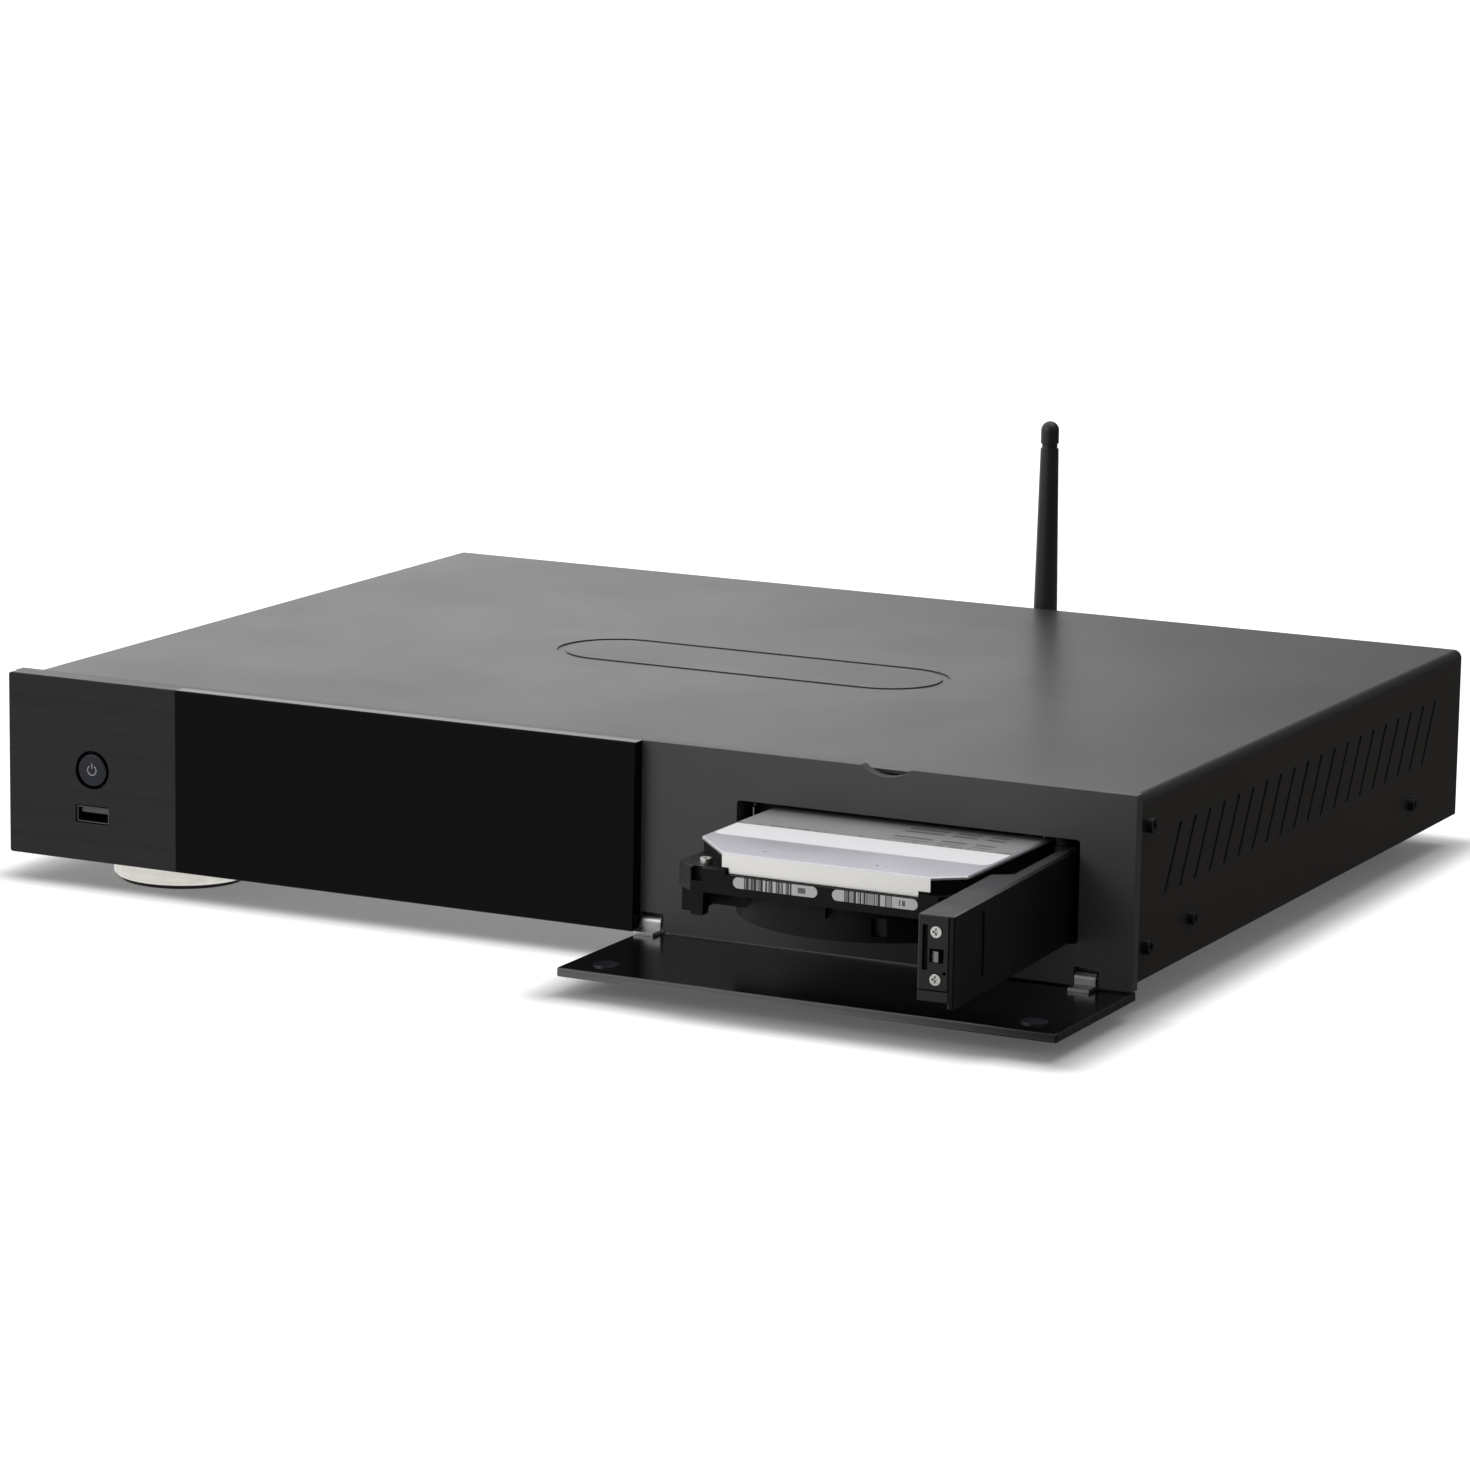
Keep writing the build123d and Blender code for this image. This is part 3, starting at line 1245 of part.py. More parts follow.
# ================================================================ the hard drive
cover_plate = 1.0
bar_top = up(40.3)           # ledge that the cover stands on
bar_base = up(32.4)          # underside of the thick front bar
wall_top = up(drive_top) - cover_plate
well_radius = drive_width / 2 - 4.3
well_centre_y = drive_front + 50.0
well_base = drive_bottom + 1.0
rail_width = 6.0
rail_start = 6.5
rail_step = 44.0             # the rails have their full depth from here on
rail_front_base = up(24.2)
web_start = 15.0
web_thickness = 2.5
web_length = 24.0
corner_cut = (7.0, 6.0)
post_size = 4.2
mount_hole = 3.4
mount_hole_lift = 6.35
mount_hole_places = (28.5, 70.1, 130.1)     # from the connector end
corner_screw_inset = (9.0, 7.2)
drive_screw_head = 4.1
drive_screw_shank = 2.0
drive_rear = drive_front + drive_length
cover_front = drive_front + 1.4
skirt_sheet = 0.45
skirt_middle = (drive_x - 30.7, drive_x + 36.3)
skirt_base = up(39.2)
lid_cut_left = (16.8, 19.0)
lid_cut_right = (9.6, 7.8)
lid_edge = 0.35


def cover_outline(inset):
    """The cover's plan: a long plate with its two front corners cut off."""
    left = drive_left + 0.8 + inset
    right = drive_right - 0.8 - inset
    front = cover_front + inset
    rear = drive_rear - 3.0 - inset
    with BuildLine() as line:
        Polyline(
            (left, front + lid_cut_left[1]),
            (left + lid_cut_left[0], front),
            (right - lid_cut_right[0], front),
            (right, front + lid_cut_right[1]),
            (right, rear),
            (left, rear),
            close=True,
        )
    return line.line


with BuildPart() as drive_base:
    # Upper slab, full width.
    with BuildSketch(level(bar_base)) as slab_plan:
        with Locations((drive_x, (drive_front + drive_rear) / 2)):
            Rectangle(drive_width, drive_length)
        chamfer(slab_plan.vertices().group_by(Axis.Y)[-1], 0.8)
        # The front corners are cut back.
        for side in (-1, 1):
            with BuildLine():
                corner = (drive_x + side * drive_width / 2, drive_front)
                Polyline(
                    corner,
                    (corner[0], corner[1] + corner_cut[1]),
                    (corner[0] - side * corner_cut[0], corner[1]),
                    close=True,
                )
            make_face(mode=Mode.SUBTRACT)
    extrude(amount=bar_top - bar_base)
    # Wall below the cover.
    with BuildSketch(level(bar_top)) as wall_plan:
        add(cover_outline(skirt_sheet))
        make_face()
    extrude(amount=wall_top - bar_top)
    # Round platter well under the slab.
    with BuildSketch(level(well_base)) as well_plan:
        with Locations((drive_x, well_centre_y)):
            Circle(well_radius)
    extrude(amount=bar_base - well_base)
    # Side rails, shallow in front, tapered front posts and the connector end.
    for side in (-1, 1):
        edge = drive_x + side * drive_width / 2
        block(
            (edge, edge - side * rail_width),
            (drive_front + rail_step, drive_rear),
            (drive_bottom, bar_base),
        )
        block(
            (edge - side * 0.8, edge - side * rail_width),
            (drive_front + rail_start, drive_front + rail_step),
            (rail_front_base, bar_base),
        )
        # Web from the rail to the well.
        block(
            (edge - side * rail_width, edge - side * web_length),
            (drive_front + web_start, drive_front + web_start + web_thickness),
            (rail_front_base + 1.0, bar_base),
        )
        with BuildSketch(level(bar_base)) as post_root:
            with Locations((edge - side * 8.4, drive_front + 4.0)):
                Rectangle(post_size + 1.6, 6.0)
        with BuildSketch(level(rail_front_base)) as post_tip:
            with Locations((edge - side * 8.4, drive_front + 4.0)):
                Rectangle(post_size, 4.0)
        loft()
    block(
        (drive_left, drive_right),
        (drive_rear - 14.0, drive_rear),
        (drive_bottom + board_thickness + 0.4, bar_base),
    )
    # Mounting holes in both sides.
    for side in (-1, 1):
        edge = drive_x + side * drive_width / 2
        hole_z = drive_bottom + mount_hole_lift
        side_holes = [seat(edge, drive_rear - d, hole_z, (side, 0, 0)) for d in mount_hole_places]
        cut_holes(side_holes, mount_hole / 2, 4.0)
    # Shallow recess for the cover's skirt.
    block(
        (skirt_middle[0] - 0.5, skirt_middle[1] + 0.5),
        (drive_front - 1, cover_front + skirt_sheet + 0.1),
        (skirt_base - 0.2, bar_top),
        mode=Mode.SUBTRACT,
    )
    # Room for the plug, and a notch in the front bar's left corner.
    block(
        (plug_x - plug_width / 2, plug_x + plug_width / 2),
        (drive_rear - plug_depth, drive_rear + 1),
        (drive_bottom, plug_z + plug_height / 2),
        mode=Mode.SUBTRACT,
    )
    block(
        (drive_left + corner_cut[0] + 0.4, drive_left + corner_cut[0] + 4.2),
        (drive_front - 1, drive_front + 2.5),
        (up(35.8), bar_top),
        mode=Mode.SUBTRACT,
    )
    # Rib between the end labels and a pocket in the well's front.
    rib_x = drive_x + 3.6
    block(
        (rib_x, rib_x + 0.8),
        (drive_front + 0.3, drive_front + 3.0),
        (up(28.6), bar_base),
    )
    block(
        (rib_x + 14.0, rib_x + 34.0),
        (well_centre_y - well_radius - 1, well_centre_y - well_radius + 5.5),
        (up(23.0), up(29.0)),
        mode=Mode.SUBTRACT,
    )
    corner_x, corner_y = corner_screw_inset
    corner_seats = [seat(drive_left + corner_x, drive_front + corner_y, bar_top, (0, 0, 1))]
    cut_holes(corner_seats, drive_screw_shank / 2, 6.0)
drive_base.part.label = "drive_base"
export_step(drive_base.part, "parts/drive_base.step")

with BuildPart() as drive_cover:
    with BuildSketch(level(wall_top)) as cover_plan:
        add(cover_outline(0))
        make_face()
    extrude(amount=cover_plate)
    lid_rim = drive_cover.faces().sort_by(Axis.Z)[-1].edges()
    chamfer(lid_rim, lid_edge)
    # Bright skirt down the front, with a longer middle that dips into the bar's recess.
    skirt_left = drive_left + 0.8 + lid_cut_left[0]
    skirt_right = drive_right - 10.4
    skirt = (cover_front, cover_front + skirt_sheet)
    block((skirt_left, skirt_right), skirt, (bar_top + 0.8, wall_top))
    block(skirt_middle, skirt, (skirt_base, wall_top))
    # Two small pressed marks near the front edge.
    with BuildSketch(level(up(drive_top))) as marks:
        with Locations((drive_x - 20, drive_front + 9), (drive_x + 20, drive_front + 9)):
            SlotOverall(4.5, 1.4)
    extrude(amount=-0.3, mode=Mode.SUBTRACT)
drive_cover.part.label = "drive_cover"
export_step(drive_cover.part, "parts/drive_cover.step")

with BuildPart() as drive_label:
    with BuildSketch(level(up(drive_top))) as label_plan:
        label_start = 26.0
        label_end = drive_length - 34.0
        with Locations((drive_x, drive_front + (label_start + label_end) / 2)):
            RectangleRounded(drive_width - 3.6, label_end - label_start, 3.0)
    extrude(amount=0.12)
drive_label.part.label = "drive_label"
export_step(drive_label.part, "parts/drive_label.step")

end_label_z = up(36.9)
end_label_size = (30.0, 3.6)
with BuildPart() as drive_end_labels:
    with BuildSketch(upright(drive_front)) as end_label_outline:
        with Locations((drive_x - 13.4, end_label_z), (drive_x + 21.8, end_label_z)):
            SlotOverall(*end_label_size)
    extrude(amount=0.12)
drive_end_labels.part.label = "drive_end_labels"
export_step(drive_end_labels.part, "parts/drive_end_labels.step")

with BuildPart() as drive_board:
    block(
        (drive_left + rail_width + 0.6, drive_right - rail_width - 0.6),
        (well_centre_y + well_radius + 2.5, drive_rear - 0.6),
        (drive_bottom, drive_bottom + board_thickness),
    )
    block(
        (plug_x - plug_width / 2 - 0.4, plug_x + plug_width / 2 + 0.4),
        (drive_rear - plug_depth - 0.4, drive_rear),
        (drive_bottom, drive_bottom + board_thickness),
        mode=Mode.SUBTRACT,
    )
drive_board.part.label = "drive_board"
export_step(drive_board.part, "parts/drive_board.step")

with BuildPart() as drive_plug:
    block(
        (plug_x - plug_width / 2 + slip, plug_x + plug_width / 2 - slip),
        (drive_rear - plug_depth, drive_rear),
        (plug_z - plug_height / 2 + slip, plug_z + plug_height / 2),
    )
    block(
        (plug_x - tongue_width / 2 - 0.4, plug_x + tongue_width / 2 + 0.4),
        (drive_rear - 5.2, drive_rear),
        (plug_z - tongue_height / 2 - 0.3, plug_z + tongue_height / 2 + 0.3),
        mode=Mode.SUBTRACT,
    )
drive_plug.part.label = "drive_plug"
export_step(drive_plug.part, "parts/drive_plug.step")

with BuildPart() as drive_screws:
    add(pan_screws(corner_seats, drive_screw_head, drive_screw_shank - slip, 5.0))
drive_screws.part.label = "drive_screws"
export_step(drive_screws.part, "parts/drive_screws.step")

# ================================================================ the antenna
stub_end = rear_y + 6.6
nut_thickness = 2.0
nut_across = 8.0
collar_start = rear_y + nut_thickness + 0.2
tilt_y = rear_y + 12.5
fork_width = 8.8
tongue = 4.2
fork_radius = 3.4
tilt_pin = 1.8
swivel_slip = 0.06

with BuildPart() as antenna_connector:
    with Locations(seat(antenna_x, stub_end, antenna_axis_z, (0, 1, 0))):
        stub = stub_end - rear_sheet_y + 5.0
        Cylinder(thread_diameter / 2, stub, align=(Align.CENTER, Align.CENTER, Align.MAX))
    with Locations(seat(antenna_x, rear_sheet_y, antenna_axis_z, (0, -1, 0))):
        Cylinder(4.6, 1.6, align=(Align.CENTER, Align.CENTER, Align.MIN))
    with BuildSketch(upright(rear_y)) as nut_outline:
        with Locations((antenna_x, antenna_axis_z)):
            RegularPolygon(nut_across / 2, 6, major_radius=False)
            Circle(thread_diameter / 2 - 0.2, mode=Mode.SUBTRACT)
    extrude(amount=-nut_thickness)
antenna_connector.part.label = "antenna_connector"
export_step(antenna_connector.part, "parts/antenna_connector.step")

with BuildPart() as antenna_knuckle:
    with Locations(seat(antenna_x, collar_start, antenna_axis_z, (0, 1, 0))):
        Cylinder(4.4, 6.4, align=(Align.CENTER, Align.CENTER, Align.MIN))
        bore_depth = stub_end - collar_start + 0.3
        Cylinder(
            thread_diameter / 2 + swivel_slip,
            bore_depth,
            align=(Align.CENTER, Align.CENTER, Align.MIN),
            mode=Mode.SUBTRACT,
        )
    # Fork that carries the tilt pin.
    fork_start = collar_start + 6.4
    with BuildSketch(sideways(antenna_x - fork_width / 2)) as fork_profile:
        with Locations((tilt_y, antenna_axis_z)):
            Circle(fork_radius)
        with Locations(((fork_start + tilt_y) / 2, antenna_axis_z)):
            Rectangle(tilt_y - fork_start, 2 * fork_radius)
    extrude(amount=fork_width)
    block(
        (antenna_x - tongue / 2 - slip, antenna_x + tongue / 2 + slip),
        (fork_start + 0.1, tilt_y + 6),
        (antenna_axis_z - 6, antenna_axis_z + 6),
        mode=Mode.SUBTRACT,
    )
    cut_holes([seat(antenna_x + 6, tilt_y, antenna_axis_z, (1, 0, 0))], tilt_pin / 2, 12)
antenna_knuckle.part.label = "antenna_knuckle"
export_step(antenna_knuckle.part, "parts/antenna_knuckle.step")

with BuildPart() as antenna_pin:
    with Locations(seat(antenna_x, tilt_y, antenna_axis_z, (1, 0, 0))):
        Cylinder(tilt_pin / 2 - pin_slip, fork_width)
antenna_pin.part.label = "antenna_pin"
export_step(antenna_pin.part, "parts/antenna_pin.step")

mast_start = antenna_axis_z + 4.7
mast_end = up(antenna_tip)
groove_z = mast_end - 9.5
root = antenna_root_diameter / 2
tip = antenna_tip_diameter / 2
with BuildPart() as mast_rod:
    with BuildSketch(Plane.XZ) as mast_profile:
        with BuildLine():
            Polyline(
                (0, mast_start), (root, mast_start), (root, mast_start + 14), (tip, groove_z - 1.0)
            )
            Line((tip, groove_z - 1.0), (tip - 0.5, groove_z - 1.0))
            Line((tip - 0.5, groove_z - 1.0), (tip - 0.5, groove_z + 1.0))
            Line((tip - 0.5, groove_z + 1.0), (tip, groove_z + 1.0))
            Line((tip, groove_z + 1.0), (tip, mast_end - tip))
            CenterArc((0, mast_end - tip), tip, 0, 90)
            Line((0, mast_end), (0, mast_start))
        make_face()
    revolve(axis=Axis.Z)
with BuildPart() as antenna_mast:
    with Locations((antenna_x, tilt_y, 0)):
        add(mast_rod.part)
    with BuildSketch(sideways(antenna_x - tongue / 2)) as tongue_profile:
        with Locations((tilt_y, antenna_axis_z)):
            Circle(3.0)
        with Locations((tilt_y, (antenna_axis_z + mast_start) / 2)):
            Rectangle(6.0, mast_start - antenna_axis_z)
    extrude(amount=tongue)
    cut_holes([seat(antenna_x + 6, tilt_y, antenna_axis_z, (1, 0, 0))], tilt_pin / 2, 12)
antenna_mast.part.label = "antenna_mast"
export_step(antenna_mast.part, "parts/antenna_mast.step")
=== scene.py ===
# %% [markdown]
# # A home media player, loaded with a hard drive
# The player is a low black case. Its flap hangs open, the rack door stands open, and a bare
# 3.5 inch drive is part of the way out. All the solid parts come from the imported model.
# They could be modelled again here, but they already have their real sizes, so this lesson
# gives them their finishes and adds the small things that are only surface.

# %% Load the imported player
import json
import math

import bmesh
import bpy
from mathutils import Matrix, Vector


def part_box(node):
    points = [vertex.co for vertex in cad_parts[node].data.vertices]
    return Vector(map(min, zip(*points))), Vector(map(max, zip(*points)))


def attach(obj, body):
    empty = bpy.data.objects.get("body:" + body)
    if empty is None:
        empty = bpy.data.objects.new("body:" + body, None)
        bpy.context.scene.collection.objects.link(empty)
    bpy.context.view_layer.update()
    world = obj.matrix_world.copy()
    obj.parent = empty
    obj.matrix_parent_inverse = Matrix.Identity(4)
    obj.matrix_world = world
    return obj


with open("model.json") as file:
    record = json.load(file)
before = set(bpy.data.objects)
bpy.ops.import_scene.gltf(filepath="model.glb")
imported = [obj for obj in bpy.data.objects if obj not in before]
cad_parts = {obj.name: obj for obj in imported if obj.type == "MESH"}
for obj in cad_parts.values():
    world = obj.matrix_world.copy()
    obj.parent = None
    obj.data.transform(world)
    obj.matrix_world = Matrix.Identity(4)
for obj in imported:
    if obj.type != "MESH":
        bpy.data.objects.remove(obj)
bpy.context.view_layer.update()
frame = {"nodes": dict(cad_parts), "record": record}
nodes = frame["nodes"]
MM = 0.001

# %% [markdown]
# ## Where things are
# A mask or a mark has to land on the right spot of the case, the drive or the button. The
# places could be typed in again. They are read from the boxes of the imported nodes, so they
# stay right when the part changes a little.

# %% Read the places back from the nodes
cover_low, cover_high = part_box("top_cover")
lid_low, lid_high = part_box("drive_cover")
label_low, label_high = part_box("drive_label")
cap_low, cap_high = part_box("power_button")
button_middle = (cap_low + cap_high) / 2
print("button at", [round(v, 4) for v in button_middle])

# %% [markdown]
# ## The camera
# The photograph is taken from the right front with a long lens, a little above the case. A
# camera could be placed by eye. Here it was found by fitting the case's known corners to
# where the photograph shows them, which gives a distance, two angles and a small roll.

# %% Set the camera
photo_size = 1470
focal_pixels = 5613.9
turn = 0.46125
rise = 0.19405
roll = 0.01573
camera_place = Vector((885.277, -1795.789, 440.207)) * MM

level = math.cos(rise)
backward = Vector((math.sin(turn) * level, -math.cos(turn) * level, math.sin(rise)))
level_right = Vector((0, 0, 1)).cross(backward).normalized()
level_up = backward.cross(level_right)
camera_right = math.cos(roll) * level_right + math.sin(roll) * level_up
camera_up = math.cos(roll) * level_up - math.sin(roll) * level_right

camera_data = bpy.data.cameras.new("photo_camera")
camera_data.sensor_width = 36.0
camera_data.lens = focal_pixels / photo_size * camera_data.sensor_width
camera_data.clip_start = 0.05
camera_data.clip_end = 100.0
camera = bpy.data.objects.new("photo_camera", camera_data)
camera.matrix_world = Matrix((
    (camera_right.x, camera_up.x, backward.x, camera_place.x),
    (camera_right.y, camera_up.y, backward.y, camera_place.y),
    (camera_right.z, camera_up.z, backward.z, camera_place.z),
    (0, 0, 0, 1),
))
bpy.context.scene.collection.objects.link(camera)
bpy.context.scene.camera = camera
bpy.context.scene.view_settings.view_transform = "Standard"
print("lens:", round(camera_data.lens, 2), "mm")

# %% [markdown]
# ## Helpers for finishes
# A finish is a small tree of nodes. Writing every link out would hide what matters, so four
# helpers add a node, join two sockets, start a material with its Principled shader and give
# it coordinates in metres.

# %% Small helpers for node trees
def add_node(tree, kind, **settings):
    node = tree.nodes.new(kind)
    for name, value in settings.items():
        setattr(node, name, value)
    return node


def join(tree, source, target):
    tree.links.new(source, target)


def start_finish(name, colour, roughness, metallic=0.0, specular=0.5):
    """A new material with its own Principled shader, and the colour it starts from."""
    finish = bpy.data.materials.new(name)
    finish.use_nodes = True
    tree = finish.node_tree
    shader = tree.nodes["Principled BSDF"]
    shader.inputs["Base Color"].default_value = (*colour, 1)
    shader.inputs["Roughness"].default_value = roughness
    shader.inputs["Metallic"].default_value = metallic
    shader.inputs["Specular IOR Level"].default_value = specular
    return finish, tree, shader


def object_space(tree, turn=(0, 0, 0)):
    """Object coordinates, turned for a pattern."""
    place = add_node(tree, "ShaderNodeTexCoord")
    mapping = add_node(tree, "ShaderNodeMapping")
    mapping.inputs["Rotation"].default_value = turn
    join(tree, place.outputs["Object"], mapping.inputs["Vector"])
    return mapping.outputs["Vector"]


# %% [markdown]
# ## Effects that several finishes share
# Powder coat, moulded plastic and cast metal all have a fine grain over a faint, broad
# unevenness. Brushed metal has long scratches, and handled parts have soft touch marks. Each
# is a node group with named sockets, made once. A group could hold the whole material, but
# the exported model can only read colours, masks and heights out of a group, so the shaders
# stay outside.

# %% Start a node group
def start_group(name, inputs, outputs):
    group = bpy.data.node_groups.new(name, "ShaderNodeTree")
    for label, kind, value in inputs:
        socket = group.interface.new_socket(label, in_out="INPUT", socket_type=kind)
        if value is not None:
            socket.default_value = value
    for label, kind in outputs:
        group.interface.new_socket(label, in_out="OUTPUT", socket_type=kind)
    entry = group.nodes.new("NodeGroupInput")
    leave = group.nodes.new("NodeGroupOutput")
    return group, entry, leave


# %% Fine grain: a height for the bump and a tone for broad unevenness
grain, entry, leave = start_group(
    "fine_grain",
    [("Vector", "NodeSocketVector", None), ("Grain Scale", "NodeSocketFloat", 2500.0)],
    [("Height", "NodeSocketFloat"), ("Tone", "NodeSocketFloat")],
)
speck = add_node(grain, "ShaderNodeTexNoise")
speck.inputs["Detail"].default_value = 3.0
broad = add_node(grain, "ShaderNodeTexNoise")
broad.inputs["Scale"].default_value = 14.0
broad.inputs["Detail"].default_value = 4.0
join(grain, entry.outputs["Vector"], speck.inputs["Vector"])
join(grain, entry.outputs["Grain Scale"], speck.inputs["Scale"])
join(grain, entry.outputs["Vector"], broad.inputs["Vector"])
join(grain, speck.outputs["Fac"], leave.inputs["Height"])
join(grain, broad.outputs["Fac"], leave.inputs["Tone"])
print("group:", grain.name)

# %% Brushed lines: scratches that run along the local X of the vector
brushed, entry, leave = start_group(
    "brushed_lines",
    [("Vector", "NodeSocketVector", None)],
    [("Height", "NodeSocketFloat"), ("Tone", "NodeSocketFloat")],
)
stretch = add_node(brushed, "ShaderNodeMapping")
stretch.inputs["Scale"].default_value = (18.0, 2600.0, 2600.0)
scratch = add_node(brushed, "ShaderNodeTexNoise")
scratch.inputs["Scale"].default_value = 1.0
scratch.inputs["Detail"].default_value = 2.0
streak_space = add_node(brushed, "ShaderNodeMapping")
streak_space.inputs["Scale"].default_value = (5.0, 420.0, 420.0)
streak = add_node(brushed, "ShaderNodeTexNoise")
streak.inputs["Scale"].default_value = 1.0
streak.inputs["Detail"].default_value = 3.0
join(brushed, entry.outputs["Vector"], stretch.inputs["Vector"])
join(brushed, stretch.outputs["Vector"], scratch.inputs["Vector"])
join(brushed, entry.outputs["Vector"], streak_space.inputs["Vector"])
join(brushed, streak_space.outputs["Vector"], streak.inputs["Vector"])
join(brushed, scratch.outputs["Fac"], leave.inputs["Height"])
join(brushed, streak.outputs["Fac"], leave.inputs["Tone"])
print("group:", brushed.name)

# %% Touch marks: soft patches where hands and cloths have been
touch, entry, leave = start_group(
    "touch_marks",
    [("Vector", "NodeSocketVector", None), ("Patch Scale", "NodeSocketFloat", 22.0)],
    [("Mask", "NodeSocketFloat")],
)
patch = add_node(touch, "ShaderNodeTexNoise")
patch.inputs["Detail"].default_value = 6.0
patch.inputs["Roughness"].default_value = 0.6
spread = add_node(touch, "ShaderNodeMapRange")
spread.inputs["From Min"].default_value = 0.35
spread.inputs["From Max"].default_value = 0.75
join(touch, entry.outputs["Vector"], patch.inputs["Vector"])
join(touch, entry.outputs["Patch Scale"], patch.inputs["Scale"])
join(touch, patch.outputs["Fac"], spread.inputs["Value"])
join(touch, spread.outputs["Result"], leave.inputs["Mask"])
print("group:", touch.name)


# %% [markdown]
# ## Joining an effect to a shader
# A tone moves the colour a little, a mask moves the roughness, and a height bends the normal.
# The bump's distance is the real depth of the texture. A small Bevel node under the bump
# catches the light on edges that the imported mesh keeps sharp.

# %% Use a group in a finish
def place_group(tree, group, vector, **values):
    node = add_node(tree, "ShaderNodeGroup", node_tree=group)
    join(tree, vector, node.inputs["Vector"])
    for label, value in values.items():
        node.inputs[label.replace("_", " ")].default_value = value
    return node


def vary_colour(tree, shader, factor, dark, light):
    blend = add_node(tree, "ShaderNodeMix", data_type="RGBA")
    blend.inputs[6].default_value = (*dark, 1)
    blend.inputs[7].default_value = (*light, 1)
    join(tree, factor, blend.inputs[0])
    join(tree, blend.outputs[2], shader.inputs["Base Color"])
    return blend


def vary_roughness(tree, shader, factor, low, high):
    spread = add_node(tree, "ShaderNodeMapRange")
    spread.inputs["To Min"].default_value = low
    spread.inputs["To Max"].default_value = high
    join(tree, factor, spread.inputs["Value"])
    join(tree, spread.outputs["Result"], shader.inputs["Roughness"])


def raise_bump(tree, shader, height, depth_mm, strength=1.0, edge_mm=0.25):
    bump = add_node(tree, "ShaderNodeBump")
    bump.inputs["Strength"].default_value = strength
    bump.inputs["Distance"].default_value = depth_mm * MM
    join(tree, height, bump.inputs["Height"])
    if edge_mm > 0:
        edge = add_node(tree, "ShaderNodeBevel", samples=4)
        edge.inputs["Radius"].default_value = edge_mm * MM
        join(tree, edge.outputs["Normal"], bump.inputs["Normal"])
    join(tree, bump.outputs["Normal"], shader.inputs["Normal"])


def shade(colour, factor):
    return tuple(min(1.0, c * factor) for c in colour)


# %% [markdown]
# ## Coats, plastics and metals
# Nearly every part falls into one of a few families: powder coat, moulded plastic, brushed
# metal, plated metal, gloss black, rubber. A function for each family keeps its parts alike,
# and each part still gets its own colour and roughness, and grain where it needs it.

# %% Powder coat: fine orange peel over paint
def powder_coat(name, colour, roughness, specular=0.5, peel_mm=0.012, grain_scale=1400.0):
    finish, tree, shader = start_finish(name, colour, roughness, specular=specular)
    space = object_space(tree)
    fine = place_group(tree, grain, space, Grain_Scale=grain_scale)
    marks = place_group(tree, touch, space, Patch_Scale=9.0)
    vary_colour(tree, shader, fine.outputs["Tone"], shade(colour, 0.88), shade(colour, 1.14))
    vary_roughness(tree, shader, marks.outputs["Mask"], roughness * 0.94, roughness * 1.08)
    raise_bump(tree, shader, fine.outputs["Height"], peel_mm, 0.6)
    return finish


# %% Moulded plastic: spark-eroded grain
def moulded_plastic(name, colour, roughness, grain_mm=0.02, grain_scale=2200.0, specular=0.5):
    finish, tree, shader = start_finish(name, colour, roughness, specular=specular)
    space = object_space(tree)
    fine = place_group(tree, grain, space, Grain_Scale=grain_scale)
    marks = place_group(tree, touch, space, Patch_Scale=40.0)
    vary_colour(tree, shader, fine.outputs["Tone"], shade(colour, 0.8), shade(colour, 1.2))
    vary_roughness(tree, shader, marks.outputs["Mask"], roughness * 0.85, roughness * 1.15)
    raise_bump(tree, shader, fine.outputs["Height"], grain_mm, 0.6)
    return finish


# %% Brushed metal: scratches along one direction
def brushed_metal(name, colour, roughness, lines_along=(0, 0, 0), depth_mm=0.006, contrast=0.18):
    finish, tree, shader = start_finish(name, colour, roughness, metallic=1.0)
    space = object_space(tree, turn=lines_along)
    lines = place_group(tree, brushed, space)
    dark, light = shade(colour, 1 - contrast), shade(colour, 1 + contrast)
    vary_colour(tree, shader, lines.outputs["Tone"], dark, light)
    vary_roughness(tree, shader, lines.outputs["Height"], roughness * 0.8, roughness * 1.25)
    raise_bump(tree, shader, lines.outputs["Height"], depth_mm, 0.5)
    return finish


# %% Plated metal: smooth, with faint cloudiness
def plated_metal(name, colour, roughness):
    finish, tree, shader = start_finish(name, colour, roughness, metallic=1.0)
    space = object_space(tree)
    fine = place_group(tree, grain, space, Grain_Scale=900.0)
    marks = place_group(tree, touch, space, Patch_Scale=60.0)
    vary_colour(tree, shader, fine.outputs["Tone"], shade(colour, 0.85), shade(colour, 1.1))
    vary_roughness(tree, shader, marks.outputs["Mask"], roughness * 0.75, roughness * 1.35)
    raise_bump(tree, shader, fine.outputs["Height"], 0.006, 0.4)
    return finish


# %% Gloss black: polished, with a trace of dust and wiping
def gloss_black(name, colour, roughness, specular):
    finish, tree, shader = start_finish(name, colour, roughness, specular=specular)
    space = object_space(tree)
    fine = place_group(tree, grain, space, Grain_Scale=300.0)
    marks = place_group(tree, touch, space, Patch_Scale=16.0)
    vary_colour(tree, shader, fine.outputs["Tone"], shade(colour, 0.7), shade(colour, 1.3))
    vary_roughness(tree, shader, marks.outputs["Mask"], roughness, roughness * 1.6)
    raise_bump(tree, shader, fine.outputs["Height"], 0.002, 0.2)
    return finish


